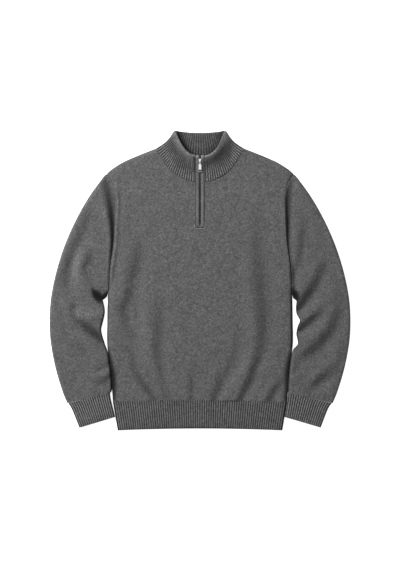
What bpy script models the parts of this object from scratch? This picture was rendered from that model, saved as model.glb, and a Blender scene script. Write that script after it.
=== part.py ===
"""Quarter-zip knit pullover with a doubled rib collar, laid flat on its back.

X runs across the garment, with +X towards the wearer's left sleeve. Y runs from the hem to the
neck. Z points up from the surface that the garment lies on. The origin is on that surface, under
the middle of the outline. Sizes are in millimetres and become metres where a mesh is made.
"""
import math

import bmesh
import bpy
from mathutils import Matrix, Vector

MM = 0.001

# Cloth thicknesses and the clearance between pieces that touch.
JERSEY = 2.8
RIB_KNIT = 3.0
COLLAR_BAND = 4.8
SEAM_GAP = 0.35
LAYER_GAP = 0.3
SELVEDGE_RISE = 0.9

# Heights of the upper face above the surface.
BODY_HEIGHT = 9.0
SLEEVE_HEIGHT = 9.4
HEM_HEIGHT = 8.2
CUFF_HEIGHT = 9.2
SIDE_SEAM_HEIGHT = 4.4
LOWEST_TOP = 2 * JERSEY + 0.6

# How far in from an edge the cloth takes to reach its full height.
SIDE_ROUNDING = 15.0
FOLD_ROUNDING = 10.0
# Share of a tube's width over which its inner face moves in at a fold.
INSET_REACH = 0.15

# Knit ribs: how many show across each band, and how far they stand proud.
HEM_RIBS = 75
CUFF_RIBS = 18
COLLAR_FRONT_RIBS = 21
COLLAR_BACK_RIBS = 13
RIB_PROUD = 0.9
# Edges bent by more than this many degrees look sharp, on plain pieces and on ribbed ones.
PLAIN_CREASE = 50.0
RIB_CREASE = 14.0

# Zip.
SLOT_HALF = 12.7
SLOT_FOOT = 131.0
TRIM_INNER = 2.7
TRIM_OUTER = 12.35
TRIM_THICK = 2.8
TRIM_PROUD = 1.0
END_BAR_LENGTH = 4.6
TAPE_THICK = 0.8
CHAIN_HALF = 2.3
CHAIN_THICK = 1.9

# Slider and pull tab.
SLIDER_Y = 298.0
SLIDER_LENGTH = 10.4
SLIDER_HALF = 3.1
SLIDER_CORE = (2.3, 4.2, 0.82)
SLIDER_THICK = 1.8
BRIDGE_WIRE = 0.65
BRIDGE_SPAN = 5.4
BRIDGE_RISE = 2.9
PIN_RADIUS = 0.65
PULL_LENGTH = 28.6
PULL_HALF = 4.4
PULL_NECK = (2.4, 7.4)
PULL_CORNER = 1.4
PULL_THICK = 1.4
PULL_WINDOW = (1.1, 5.0)
PULL_SLOT = (2.7, 1.6)
PULL_SLOT_AT = 22.4

# Half width of the body at the side seam and round the armhole: (y, half width).
BODY_SIDE = (
    (-302.5, 217.6), (-281.0, 219.0), (-236.0, 222.3), (-199.0, 226.3), (-174.0, 230.3),
    (-150.0, 232.3), (-100.0, 231.6), (-54.0, 230.8), (-26.0, 230.0), (16.0, 226.5),
    (51.0, 223.0), (86.0, 218.0), (124.0, 213.5), (154.0, 209.3), (184.0, 207.5),
    (206.0, 209.0), (224.0, 212.5), (241.0, 217.5), (256.0, 226.5), (266.0, 233.5),
)
ARMPIT_Y = -26.0
SHOULDER_TIP = (233.5, 266.0)
# Height of the armhole seam above the surface: (y, height).
ARMHOLE_HEIGHT = (
    (-302.5, 4.4), (-40.0, 4.4), (-26.0, 5.0), (0.0, 7.6), (40.0, 10.6), (110.0, 11.6),
    (200.0, 11.2), (235.0, 8.0), (256.0, 5.4), (266.0, 4.6),
)

# Neckline and shoulder, from the zip to the neck point and on to the shoulder tip: (x, y).
NECK_SEAM_FRONT = (
    (12.7, 246.8), (27.0, 249.0), (40.0, 254.3), (54.0, 261.0), (67.5, 269.8), (78.0, 280.5),
    (87.5, 293.3), (99.0, 311.5), (110.0, 330.0),
)
NECK_SEAM_BACK = ((0.0, 306.0), (37.5, 308.5), (75.0, 316.0), (110.0, 330.0))
SHOULDER_LINE = (
    (110.0, 330.0), (121.0, 325.6), (133.0, 321.0), (151.0, 313.8), (169.0, 306.3),
    (186.0, 298.8), (200.0, 291.3), (212.0, 283.8), (223.0, 276.0), (233.5, 266.0),
)
# Top edge of the collar: (x, y). The front edge differs a little between the two sides.
COLLAR_TOP_RIGHT = (
    (12.7, 312.3), (26.0, 318.0), (38.8, 330.5), (49.0, 346.5), (56.0, 362.0), (60.0, 370.8),
    (63.2, 375.1),
)
COLLAR_TOP_LEFT = (
    (12.7, 311.0), (22.5, 313.8), (35.0, 322.5), (46.0, 337.0), (54.0, 355.5), (59.5, 369.8),
    (63.2, 375.1),
)
COLLAR_TOP_BACK = ((0.0, 369.2), (20.0, 369.6), (45.0, 371.9), (63.2, 375.1))
# How far the collar's side fold bows in from the straight line between its two ends.
COLLAR_SIDE_BOW = 5.5
# Height of the collar's top edge from the zip to the side fold: (share, height).
COLLAR_RISE = ((0.0, 20.5), (0.3, 20.5), (0.6, 18.5), (0.85, 14.0), (1.0, 11.0))
COLLAR_SEAM_HEIGHT = 11.6
# Share of the collar's height that its lower edge stands clear of the neck seam.
COLLAR_FOOT = 0.009
# Rows of the collar's section, up its outer face and down its inner face.
COLLAR_OUTSIDE = (COLLAR_FOOT, 0.2, 0.42, 0.64, 0.82, 0.95)
COLLAR_INSIDE = (0.95, 0.8, 0.5, COLLAR_FOOT)
# How far the inner face lifts away from the back panel's corner at the side fold.
COLLAR_FOLD_LIFT = 3.2
COLLAR_DIP = 1.6

# Front hem seam and lower edges: height along Y in the middle and at the sides.
HEM_SEAM = (-299.5, -302.5)
HEM_EDGE_FRONT = (-367.5, -374.6)
HEM_EDGE_BACK = (-370.0, -374.6)
HEM_FOOT_HALF = 205.6

# Outer edge of a sleeve: (y, x).
SLEEVE_OUTER = (
    (-306.0, 331.5), (-293.0, 337.5), (-279.0, 343.0), (-234.0, 357.0), (-189.0, 367.5),
    (-144.0, 374.2), (-99.0, 376.0), (-54.0, 373.6), (-9.0, 366.4), (36.0, 355.3),
    (81.0, 340.8), (126.0, 322.3), (171.0, 299.9), (201.0, 282.4), (224.0, 267.3),
    (246.0, 251.0), (261.0, 239.6), (266.0, 234.2),
)
# Inner edge of each sleeve: (y, x). The underarm is drawn up into small waves.
SLEEVE_INNER = {
    "right": (
        (-281.0, 225.6), (-277.0, 221.5), (-262.0, 221.6), (-244.0, 222.9), (-199.0, 229.6),
        (-171.0, 234.5), (-157.0, 238.0), (-125.0, 246.5), (-108.0, 243.5), (-92.0, 239.5),
        (-74.5, 236.8), (-55.0, 242.0), (-48.0, 245.5), (-44.0, 241.5), (-38.0, 236.5),
        (-31.0, 232.8), (-26.0, 230.5),
    ),
    "left": (
        (-281.0, 223.2), (-262.0, 223.4), (-236.0, 224.8), (-193.0, 227.8), (-172.0, 234.5),
        (-158.0, 244.0), (-133.0, 240.5), (-114.0, 244.0), (-100.0, 249.0), (-84.0, 241.5),
        (-69.0, 239.5), (-54.0, 240.5), (-48.0, 241.5), (-44.0, 239.5), (-38.0, 236.0),
        (-31.0, 232.8), (-26.0, 230.5),
    ),
}
# Cross sections of a sleeve: (number, outer edge y, inner edge y).
SLEEVE_RINGS = (
    (0, 266.0, -26.0), (1, 258.0, -31.0), (2, 241.0, -38.0), (3, 221.0, -44.0),
    (4, 199.0, -48.5), (5, 174.0, -55.0), (7, 119.0, -74.0), (10, 36.0, -105.0),
    (13, -41.0, -139.0), (16, -116.0, -172.5), (19, -191.0, -214.0), (22, -259.0, -255.0),
    (24, -306.0, -281.0),
)
# Height of the sleeve's upper face beside the armhole and at the cuff: (ring, height).
SLEEVE_PROFILE = (
    (0.0, 11.0), (1.0, 6.4), (2.0, 7.8), (3.0, 9.4), (4.0, 10.2), (7.0, 9.8), (20.0, 9.6),
    (23.0, 9.8), (24.0, 8.2),
)
# Edges of each cuff: share from the seam to the end, outer (x, y), inner (x, y).
CUFF_EDGES = {
    "right": (
        (0.0, (329.0, -307.0), (225.0, -281.6)), (0.2, (321.8, -318.5), (223.0, -295.0)),
        (0.6, (311.5, -343.0), (216.6, -321.0)), (1.0, (301.4, -368.0), (212.3, -340.8)),
    ),
    "left": (
        (0.0, (329.0, -307.0), (222.8, -281.6)), (0.2, (321.0, -318.5), (220.6, -295.0)),
        (0.6, (311.0, -343.0), (215.8, -321.0)), (1.0, (301.6, -367.5), (212.3, -341.0)),
    ),
}

# Where the grids are cut across the garment and along the armhole.
NECK_SHARES = (0.0, 0.05, 0.11, 0.175, 0.245, 0.32, 0.38, 0.44067)
PANEL_SHARES = NECK_SHARES + (0.52, 0.61, 0.70, 0.79, 0.875, 0.94, 0.98, 1.0)
ARMHOLE_STATIONS = (
    0.0, 0.015, 0.05, 0.096, 0.151, 0.216, 0.288, 0.366, 0.4623, 0.534, 0.623, 0.716, 0.805,
    0.884, 0.945, 0.979, 1.0,
)
LOWER_ROWS = (-55.0, -90.0, -125.0, -160.0, -195.0, -230.0, -265.0)

# Largest folds: half width, height (troughs are negative), and the line that each follows.
BODY_FOLDS = (
    (16.0, -3.2, ((140.0, 76.0), (149.0, -30.0), (154.0, -130.0), (152.0, -176.0),
                  (136.0, -237.0), (108.0, -292.0))),
    (18.0, 2.0, ((120.0, -120.0), (114.0, -195.0), (84.0, -258.0), (64.0, -294.0))),
    (14.0, -2.6, ((200.0, -246.0), (168.0, -298.0))),
    (18.0, -2.6, ((-158.0, 74.0), (-172.0, 10.0), (-184.0, -58.0))),
    (16.0, -2.2, ((-106.0, -60.0), (-100.0, -150.0), (-92.0, -230.0), (-84.0, -294.0))),
    (16.0, 1.6, ((-82.0, -80.0), (-74.0, -180.0), (-68.0, -290.0))),
    (14.0, -2.4, ((-152.0, -186.0), (-140.0, -240.0), (-122.0, -294.0))),
    (13.0, -1.6, ((-30.0, -214.0), (-28.0, -294.0))),
    (13.0, -2.0, ((54.0, -222.0), (36.0, -294.0))),
)
SLEEVE_FOLDS = {
    "right": (
        (15.0, -5.0, ((-296.0, -106.0), (-272.0, -126.0), (-246.0, -146.0))),
        (15.0, 4.0, ((-304.0, -88.0), (-278.0, -94.0), (-250.0, -98.0))),
        (20.0, 3.6, ((-318.0, 86.0), (-324.0, 26.0), (-308.0, -14.0), (-276.0, -32.0))),
        (15.0, -3.8, ((-278.0, 56.0), (-290.0, 20.0), (-262.0, 0.0))),
        (15.0, -3.0, ((-344.0, -10.0), (-330.0, -62.0), (-306.0, -118.0))),
        (14.0, -2.4, ((-262.0, -238.0), (-228.0, -262.0))),
    ),
    "left": (
        (15.0, -5.4, ((312.0, 46.0), (291.0, 1.0), (272.0, -26.0), (246.0, -62.0))),
        (13.0, -4.2, ((310.0, -73.0), (280.0, -93.0), (248.0, -116.0))),
        (16.0, -4.6, ((344.0, -66.0), (332.0, -100.0), (296.0, -155.0), (246.0, -196.0))),
        (14.0, -3.4, ((318.0, -222.0), (290.0, -250.0), (258.0, -270.0))),
        (14.0, 2.6, ((326.0, 0.0), (296.0, -52.0), (256.0, -88.0))),
        (14.0, 2.6, ((330.0, -74.0), (296.0, -122.0), (252.0, -150.0))),
    ),
}

KNIT_COLOUR = (0.115, 0.115, 0.118, 1.0)
RIB_COLOUR = (0.098, 0.098, 0.101, 1.0)
TAPE_COLOUR = (0.022, 0.022, 0.024, 1.0)
CHAIN_COLOUR = (0.10, 0.10, 0.105, 1.0)
METAL_COLOUR = (0.66, 0.66, 0.67, 1.0)


def slope_at(rows, index):
    """Slope of a table of (station, value) rows at one row."""
    before = max(index - 1, 0)
    after = min(index + 1, len(rows) - 1)
    return (rows[after][1] - rows[before][1]) / (rows[after][0] - rows[before][0])


def smooth_at(rows, station):
    """Value at a station on a smooth curve through (station, value) rows."""
    if station <= rows[0][0]:
        return rows[0][1]
    if station >= rows[-1][0]:
        return rows[-1][1]
    index = 0
    while rows[index + 1][0] < station:
        index += 1
    start, first = rows[index]
    end, second = rows[index + 1]
    span = end - start
    u = (station - start) / span
    tangent_in = slope_at(rows, index) * span
    tangent_out = slope_at(rows, index + 1) * span
    return (
        first * (2 * u ** 3 - 3 * u ** 2 + 1)
        + tangent_in * (u ** 3 - 2 * u ** 2 + u)
        + second * (3 * u ** 2 - 2 * u ** 3)
        + tangent_out * (u ** 3 - u ** 2)
    )


def smooth_line(rows, pieces=40):
    """Points (x, y) along the smooth curve through (x, y) rows."""
    start, end = rows[0][0], rows[-1][0]
    across = [mix(start, end, index / pieces) for index in range(pieces + 1)]
    return [(x, smooth_at(rows, x)) for x in across]


def point_along(points, share):
    """Point at a share of the length of a line of (x, y) points."""
    lengths = [math.dist(a, b) for a, b in zip(points, points[1:])]
    left = max(0.0, min(1.0, share)) * sum(lengths)
    for start, end, length in zip(points, points[1:], lengths):
        if left <= length or end == points[-1]:
            u = min(1.0, left / length)
            return (start[0] + (end[0] - start[0]) * u, start[1] + (end[1] - start[1]) * u)
        left -= length
    return points[-1]


def mix(a, b, share):
    """Value a share of the way from a to b."""
    return a + (b - a) * share


def mix_points(a, b, share):
    """Point (x, y) a share of the way from a to b."""
    return (mix(a[0], b[0], share), mix(a[1], b[1], share))


def quarter_round(distance, reach):
    """0 at an edge, rising as a quarter circle to 1 at a distance of reach."""
    u = max(0.0, min(1.0, distance / reach))
    return math.sqrt(1.0 - (1.0 - u) ** 2)


def ease(value):
    """Smooth step from 0 to 1."""
    u = max(0.0, min(1.0, value))
    return u * u * (3.0 - 2.0 * u)


def fold_height(folds, x, y):
    """Height that the folds add at a point of the cloth."""
    total = 0.0
    for half_width, height, line in folds:
        lengths = [math.dist(a, b) for a, b in zip(line, line[1:])]
        whole = sum(lengths)
        passed = 0.0
        nearest = (half_width, 0.0)
        for (ax, ay), (bx, by), length in zip(line, line[1:], lengths):
            u = ((x - ax) * (bx - ax) + (y - ay) * (by - ay)) / length ** 2
            u = max(0.0, min(1.0, u))
            away = math.dist((x, y), (mix(ax, bx, u), mix(ay, by, u)))
            if away < nearest[0]:
                nearest = (away, (passed + u * length) / whole)
            passed += length
        away, share = nearest
        if away < half_width:
            ends = ease(min(share, 1.0 - share) / 0.3 + 0.15)
            total += height * ends * math.cos(0.5 * math.pi * away / half_width) ** 2
    return total


def new_collection(name):
    """Make a collection in the scene."""
    collection = bpy.data.collections.new(name)
    bpy.context.scene.collection.children.link(collection)
    return collection


def new_material(name, colour, roughness, metallic):
    """Make a Principled material of one colour."""
    material = bpy.data.materials.new(name)
    material.use_nodes = True
    shader = material.node_tree.nodes["Principled BSDF"]
    shader.inputs["Base Color"].default_value = colour
    shader.inputs["Roughness"].default_value = roughness
    shader.inputs["Metallic"].default_value = metallic
    material.diffuse_color = colour
    return material


def add_object(name, mesh, material, collection):
    """Put a mesh in the model under a name, with its material."""
    part = bpy.data.objects.new(name, mesh)
    mesh.materials.append(material)
    collection.objects.link(part)
    return part


def shell_mesh(name, outer, inner, is_cloth=None, wrap=False, crease=PLAIN_CREASE):
    """Close two grids of (x, y, z) points, rows by columns, into a wall.

    is_cloth(row, column) says whether a cell holds cloth, and wrap joins the last column to the
    first one, as on a tube.
    """
    shell = bmesh.new()
    rows = len(outer)
    columns = len(outer[0])
    cell_columns = columns if wrap else columns - 1
    made = {}

    def corner(face, row, column):
        key = (face, row, column % columns)
        if key not in made:
            point = (outer if face else inner)[row][column % columns]
            made[key] = shell.verts.new(Vector(point) * MM)
        return made[key]

    edges = {}
    for row in range(rows - 1):
        for column in range(cell_columns):
            if is_cloth and not is_cloth(row, column):
                continue
            cell = [(row, column), (row, column + 1), (row + 1, column + 1), (row + 1, column)]
            shell.faces.new([corner(True, *place) for place in cell])
            shell.faces.new([corner(False, *place) for place in reversed(cell)])
            for start, end in zip(cell, cell[1:] + cell[:1]):
                start = (start[0], start[1] % columns)
                end = (end[0], end[1] % columns)
                if (end, start) in edges:
                    del edges[(end, start)]
                else:
                    edges[(start, end)] = True
    for start, end in edges:
        rim = [corner(True, *end), corner(True, *start), corner(False, *start)]
        shell.faces.new(rim + [corner(False, *end)])
    bmesh.ops.recalc_face_normals(shell, faces=shell.faces)
    mesh = bpy.data.meshes.new(name)
    shell.to_mesh(mesh)
    shell.free()
    mesh.shade_smooth()
    mesh.set_sharp_from_angle(angle=math.radians(crease))
    return mesh


def loop_loft_mesh(name, sections, crease=PLAIN_CREASE):
    """Join closed sections of equal count in a row and cap both ends."""
    loft = bmesh.new()
    rings = [[loft.verts.new(Vector(point) * MM) for point in section] for section in sections]
    count = len(rings[0])
    for ring, following in zip(rings, rings[1:]):
        for index in range(count):
            after = (index + 1) % count
            loft.faces.new((ring[index], ring[after], following[after], following[index]))
    loft.faces.new(list(reversed(rings[0])))
    loft.faces.new(rings[-1])
    bmesh.ops.recalc_face_normals(loft, faces=loft.faces)
    mesh = bpy.data.meshes.new(name)
    loft.to_mesh(mesh)
    loft.free()
    mesh.shade_smooth()
    mesh.set_sharp_from_angle(angle=math.radians(crease))
    return mesh


def neck_and_shoulder_y(x, neck_seam):
    """Height along Y of the upper edge of a panel at a distance from the middle."""
    neck_point = neck_seam[-1][0]
    if x <= neck_point:
        return smooth_at(neck_seam, x)
    return smooth_at(SHOULDER_LINE, x)


def front_height(x, y):
    """Upper face of the front panel."""
    away = abs(x)
    side = smooth_at(BODY_SIDE, y) - away
    edge = smooth_at(ARMHOLE_HEIGHT, y)
    shoulder = SIDE_ROUNDING
    if away > NECK_SEAM_FRONT[-1][0]:
        shoulder = (smooth_at(SHOULDER_LINE, away) - y) * 0.9
    full = max(LOWEST_TOP, BODY_HEIGHT + fold_height(BODY_FOLDS, x, y))
    if shoulder < side:
        edge = SIDE_SEAM_HEIGHT
    rise = quarter_round(min(side, shoulder), SIDE_ROUNDING)
    return mix(edge, full, rise)


def front_wall(x, y):
    """Upper and lower height of the front panel's cloth."""
    top = front_height(x, y)
    return top, max(JERSEY + LAYER_GAP, top - JERSEY)


def panel_upper_y(side_y, share, neck_seam):
    """Height along Y of a row above the slot's foot, in a column that ends at the neckline."""
    across = 0.0 if share is None else mix(SLOT_HALF, SHOULDER_TIP[0], share)
    top = neck_and_shoulder_y(max(across, neck_seam[0][0]), neck_seam)
    risen = (side_y - SLOT_FOOT) / (SHOULDER_TIP[1] - SLOT_FOOT)
    return mix(SLOT_FOOT, top, risen)


def panel_grid(neck_seam, stations, shares):
    """Plan (x, y) of each row and column of a body panel, from the shoulder down to the hem."""
    columns = [(-1.0, share) for share in reversed(shares)] + [(0.0, None)]
    columns += [(1.0, share) for share in shares]
    levels = [mix(SHOULDER_TIP[1], ARMPIT_Y, station) for station in stations]
    plan = []
    for level in levels + list(LOWER_ROWS) + [None]:
        row = []
        for sign, share in columns:
            y = level
            if level is None:
                y = mix(HEM_SEAM[0], HEM_SEAM[1], (share or 0.0) ** 2)
            elif level > SLOT_FOOT:
                y = panel_upper_y(level, share, neck_seam)
            half = smooth_at(BODY_SIDE, y) - SEAM_GAP / 2
            row.append((sign * mix(SLOT_HALF, half, share or 0.0), y))
        plan.append(row)
    return plan


def build_front(material, collection):
    """Front panel, with the slot that the zip closes."""
    plan = panel_grid(NECK_SEAM_FRONT, ARMHOLE_STATIONS, PANEL_SHARES)
    outer = []
    inner = []
    for row in plan:
        outer.append([(x, y, front_wall(x, y)[0]) for x, y in row])
        inner.append([(x, y, front_wall(x, y)[1]) for x, y in row])
    middle = len(PANEL_SHARES)
    foot_row = sum(1 for row in plan if row[middle][1] > SLOT_FOOT + 1.0)

    def is_cloth(row, column):
        return row >= foot_row or column not in (middle - 1, middle)

    mesh = shell_mesh("front_panel", outer, inner, is_cloth)
    return add_object("front_panel", mesh, material, collection)


def back_wall(x, y):
    """Upper and lower height of the back panel's cloth, which rises a little at its edge."""
    away = abs(x)
    side = smooth_at(BODY_SIDE, y) - away
    if away > NECK_SEAM_BACK[-1][0]:
        side = min(side, smooth_at(SHOULDER_LINE, away) - y)
    lift = SELVEDGE_RISE * (1.0 - quarter_round(side, SIDE_ROUNDING / 2))
    return JERSEY, lift


def build_back(material, collection):
    """Back panel, flat on the surface under the front."""
    stations = ARMHOLE_STATIONS[::2]
    shares = NECK_SHARES + PANEL_SHARES[len(NECK_SHARES) + 1::2]
    plan = panel_grid(NECK_SEAM_BACK, stations, shares)
    upper = [[(x, y, back_wall(x, y)[0]) for x, y in row] for row in plan]
    lower = [[(x, y, back_wall(x, y)[1]) for x, y in row] for row in plan]
    mesh = shell_mesh("back_panel", upper, lower)
    return add_object("back_panel", mesh, material, collection)


def armhole_offset(t):
    """How far the armhole curves in from the straight line between its ends."""
    y = mix(SHOULDER_TIP[1], ARMPIT_Y, t)
    straight = mix(smooth_at(BODY_SIDE, SHOULDER_TIP[1]), smooth_at(BODY_SIDE, ARMPIT_Y), t)
    return smooth_at(BODY_SIDE, y) - straight


def sleeve_edges(side, number):
    """Outer and inner plan points of one cross section of a sleeve."""
    outer_y = smooth_at([(ring[0], ring[1]) for ring in SLEEVE_RINGS], number)
    inner_y = smooth_at([(ring[0], ring[2]) for ring in SLEEVE_RINGS], number)
    outer = (smooth_at(SLEEVE_OUTER, outer_y), outer_y)
    inner = (smooth_at(SLEEVE_INNER[side], inner_y), inner_y)
    if number == 0:
        outer = (SHOULDER_TIP[0] + SEAM_GAP / 2, SHOULDER_TIP[1])
        inner = (smooth_at(BODY_SIDE, ARMPIT_Y) + SEAM_GAP / 2, ARMPIT_Y)
    return outer, inner


def sleeve_plan(side, number, t):
    """Plan point a share t of the way across a sleeve's cross section."""
    outer, inner = sleeve_edges(side, number)
    x, y = mix_points(outer, inner, t)
    following = 1.0 - ease(number / 11.0)
    return (x + armhole_offset(t) * following, y)


def sleeve_top(side, number, t, x, y):
    """Upper face of a sleeve at full height, before its edges turn down."""
    profile = smooth_at(SLEEVE_PROFILE, number)
    seam_y = mix(SHOULDER_TIP[1], ARMPIT_Y, t)
    seam = smooth_at(ARMHOLE_HEIGHT, seam_y)
    if number == 0:
        return seam
    if number < 4:
        shelter = ease((1.0 - t) / 0.12) * ease(t / 0.2)
        profile = mix(min(profile + 3.0, SLEEVE_HEIGHT), profile, shelter)
    sign = 1.0 if side == "left" else -1.0
    folds = fold_height(SLEEVE_FOLDS[side], sign * x, y)
    return max(LOWEST_TOP + 0.2, profile + folds)


def inset_share(t, lap, reach):
    """Share across a tube for the cloth's inner face, which turns in at the two folds."""
    return t + lap * max(0.0, 1.0 - t / reach) - lap * max(0.0, 1.0 - (1.0 - t) / reach)


def tube_section(plan, top_at, width, wall, stations, inset_reach):
    """Outer and inner loops of a flat tube from its outer fold, over the top, and back below."""
    lap = wall / width
    outer = []
    inner = []
    for t in stations:
        x, y = plan(t)
        xi, yi = plan(inset_share(t, lap, inset_reach))
        edge = min(t, 1.0 - t) * width
        rise = quarter_round(edge, FOLD_ROUNDING)
        top = mix(SIDE_SEAM_HEIGHT, top_at(t, x, y), rise)
        outer.append((x, y, top))
        if edge == 0.0:
            inner.append((xi, yi, wall + 0.5 * LAYER_GAP))
        else:
            inner.append((xi, yi, max(wall + LAYER_GAP, top - wall)))
    for t in reversed(stations[2:-2:2]):
        x, y = plan(t)
        xi, yi = plan(inset_share(t, lap, inset_reach))
        edge = min(t, 1.0 - t) * width
        lift = SELVEDGE_RISE * (1.0 - quarter_round(edge, FOLD_ROUNDING))
        outer.append((x, y, lift))
        inner.append((xi, yi, wall))
    return outer, inner


def build_sleeve(side, material, collection):
    """Sleeve as a flat tube from the armhole to the cuff seam."""
    sign = 1.0 if side == "left" else -1.0
    outer = []
    inner = []
    for number in range(SLEEVE_RINGS[-1][0] + 1):
        width = math.dist(*sleeve_edges(side, number))
        loops = tube_section(
            lambda t: sleeve_plan(side, number, t),
            lambda t, x, y: sleeve_top(side, number, t, x, y),
            width, JERSEY, ARMHOLE_STATIONS, INSET_REACH if number else 0.001)
        outer.append([(sign * x, y, z) for x, y, z in loops[0]])
        inner.append([(sign * x, y, z) for x, y, z in loops[1]])
    mesh = shell_mesh("sleeve_" + side, outer, inner, wrap=True)
    return add_object("sleeve_" + side, mesh, material, collection)


def build_cuff(side, material, collection):
    """Rib cuff as a flat tube, its ribs raised on the upper face."""
    sign = 1.0 if side == "left" else -1.0
    name = "cuff_" + side
    steps = 2 * CUFF_RIBS
    stations = [0.0, 0.012] + [mix(0.03, 0.97, index / steps) for index in range(steps + 1)]
    stations += [0.988, 1.0]
    outer = []
    inner = []
    for share in (0.0, 0.1, 0.35, 0.92, 1.0):
        ox = smooth_at([(row[0], row[1][0]) for row in CUFF_EDGES[side]], share)
        oy = smooth_at([(row[0], row[1][1]) for row in CUFF_EDGES[side]], share)
        ix = smooth_at([(row[0], row[2][0]) for row in CUFF_EDGES[side]], share)
        iy = smooth_at([(row[0], row[2][1]) for row in CUFF_EDGES[side]], share)
        width = math.dist((ox, oy), (ix, iy))
        full = CUFF_HEIGHT - (1.6 if share in (0.0, 1.0) else 0.0)

        def top_at(t, x, y):
            place = round((t - 0.03) / 0.94 * steps)
            return full + (RIB_PROUD if place % 2 else 0.0)

        loops = tube_section(
            lambda t: mix_points((ox, oy), (ix, iy), t), top_at,
            width, RIB_KNIT, stations, INSET_REACH)
        outer.append([(sign * x, y, z) for x, y, z in loops[0]])
        inner.append([(sign * x, y, z) for x, y, z in loops[1]])
    mesh = shell_mesh(name, outer, inner, wrap=True, crease=RIB_CREASE)
    return add_object(name, mesh, material, collection)


def hem_plan(share, down, lower_edge):
    """Plan point of the hem band: share across from -1 to 1, down from 0 to 1."""
    top_y = mix(HEM_SEAM[0], HEM_SEAM[1], share ** 2) - SEAM_GAP
    foot_y = mix(lower_edge[0], lower_edge[1], share ** 2)
    half = mix(BODY_SIDE[0][1] - SEAM_GAP / 2, HEM_FOOT_HALF, down)
    return half * share, mix(top_y, foot_y, down)


def build_hem_front(material, collection):
    """Front half of the rib hem, one column of points for each crest and furrow."""
    steps = 2 * HEM_RIBS
    outer = []
    inner = []
    for down in (0.0, 0.1, 0.93, 1.0):
        upper_row = []
        lower_row = []
        for index in range(steps + 1):
            share = mix(-1.0, 1.0, index / steps)
            x, y = hem_plan(share, down, HEM_EDGE_FRONT)
            edge = (1.0 - abs(share)) * HEM_FOOT_HALF
            full = HEM_HEIGHT - (1.4 if down in (0.0, 1.0) else 0.0)
            plain = mix(SIDE_SEAM_HEIGHT + 0.6, full, quarter_round(edge, SIDE_ROUNDING))
            rib = RIB_PROUD if index % 2 else 0.0
            upper_row.append((x, y, plain + rib))
            lower_row.append((x, y, max(RIB_KNIT + LAYER_GAP, plain - RIB_KNIT)))
        outer.append(upper_row)
        inner.append(lower_row)
    mesh = shell_mesh("hem_front", outer, inner, crease=RIB_CREASE)
    return add_object("hem_front", mesh, material, collection)


def build_hem_back(material, collection):
    """Back half of the rib hem, flat on the surface."""
    upper = []
    lower = []
    for down in (0.0, 0.5, 1.0):
        shares = (-1.0, -0.96, -0.7, -0.35, 0.0, 0.35, 0.7, 0.96, 1.0)
        row = [hem_plan(share, down, HEM_EDGE_BACK) for share in shares]
        upper.append([(x, y, RIB_KNIT) for x, y in row])
        lower.append([
            (x, y, SELVEDGE_RISE if abs(share) == 1.0 else 0.0)
            for share, (x, y) in zip(shares, row)])
    mesh = shell_mesh("hem_back", upper, lower)
    return add_object("hem_back", mesh, material, collection)


def neck_line(neck_seam):
    """Points (x, y) of a neck seam at the columns of the panel that it joins."""
    across = [mix(SLOT_HALF, SHOULDER_TIP[0], share) for share in NECK_SHARES]
    if neck_seam[0][0] == 0.0:
        across.insert(0, 0.0)
    return [(x, smooth_at(neck_seam, x)) for x in across]


def collar_plan(side, half, share, up):
    """Plan point of one quarter of the collar.

    half is front or back, share runs from the middle to the side fold, and up from the neck seam
    to the top edge. X is positive on either side.
    """
    if half == "front":
        seam = point_along(neck_line(NECK_SEAM_FRONT), share)
        top_edge = COLLAR_TOP_LEFT if side == "left" else COLLAR_TOP_RIGHT
    else:
        seam = point_along(neck_line(NECK_SEAM_BACK), share)
        top_edge = COLLAR_TOP_BACK
    top = point_along(smooth_line(top_edge), share)
    x, y = mix_points(seam, top, up)
    bow = COLLAR_SIDE_BOW * math.sin(math.pi * min(up * 1.1, 1.0)) * ease((share - 0.5) / 0.5)
    return (x - bow, y - 0.3 * bow)


def collar_front_top(side, share, up):
    """Upper face of the collar's front half."""
    width = math.dist(collar_plan(side, "front", 0.0, up), collar_plan(side, "front", 1.0, up))
    top = smooth_at(COLLAR_RISE, share)
    full = mix(COLLAR_SEAM_HEIGHT, top, up ** 1.2)
    full -= COLLAR_DIP * math.sin(math.pi * up) ** 2 * ease(1.4 - share)
    middle = COLLAR_BAND + 0.5 * LAYER_GAP
    return mix(middle, full, quarter_round((1.0 - share) * width, FOLD_ROUNDING))


def collar_section(side, half, share, rib):
    """Closed section of the collar band, up its outer face, over the top and down inside."""
    points = []
    for up in COLLAR_OUTSIDE:
        x, y = collar_plan(side, half, share, up)
        if half == "front":
            fade = ease((1.0 - up) / 0.3)
            points.append((x, y, collar_front_top(side, share, up) + rib * fade))
        else:
            points.append((x, y, 0.4 if up == 0.95 else 0.0))
    width = math.dist(collar_plan(side, half, 0.0, 1.0), collar_plan(side, half, 1.0, 1.0))
    lap = 1.0 - COLLAR_BAND / width
    x, y = mix_points(collar_plan(side, half, share, 1.0),
                      collar_plan(side, half, share * lap, 1.0), 0.5)
    crown = 0.5 * COLLAR_BAND
    if half == "front":
        crown = max(collar_front_top(side, share, 1.0) - 0.5 * COLLAR_BAND,
                    COLLAR_BAND + 0.5 * LAYER_GAP)
    points.append((x, y, crown))
    for up in COLLAR_INSIDE:
        x, y = collar_plan(side, half, share * lap, up)
        if half == "front":
            inside = collar_front_top(side, share, up) - COLLAR_BAND
            points.append((x, y, max(COLLAR_BAND + LAYER_GAP, inside)))
        else:
            points.append((x, y, COLLAR_BAND + rib * ease(share * 12.0 + 1.0)))
    return points


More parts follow.
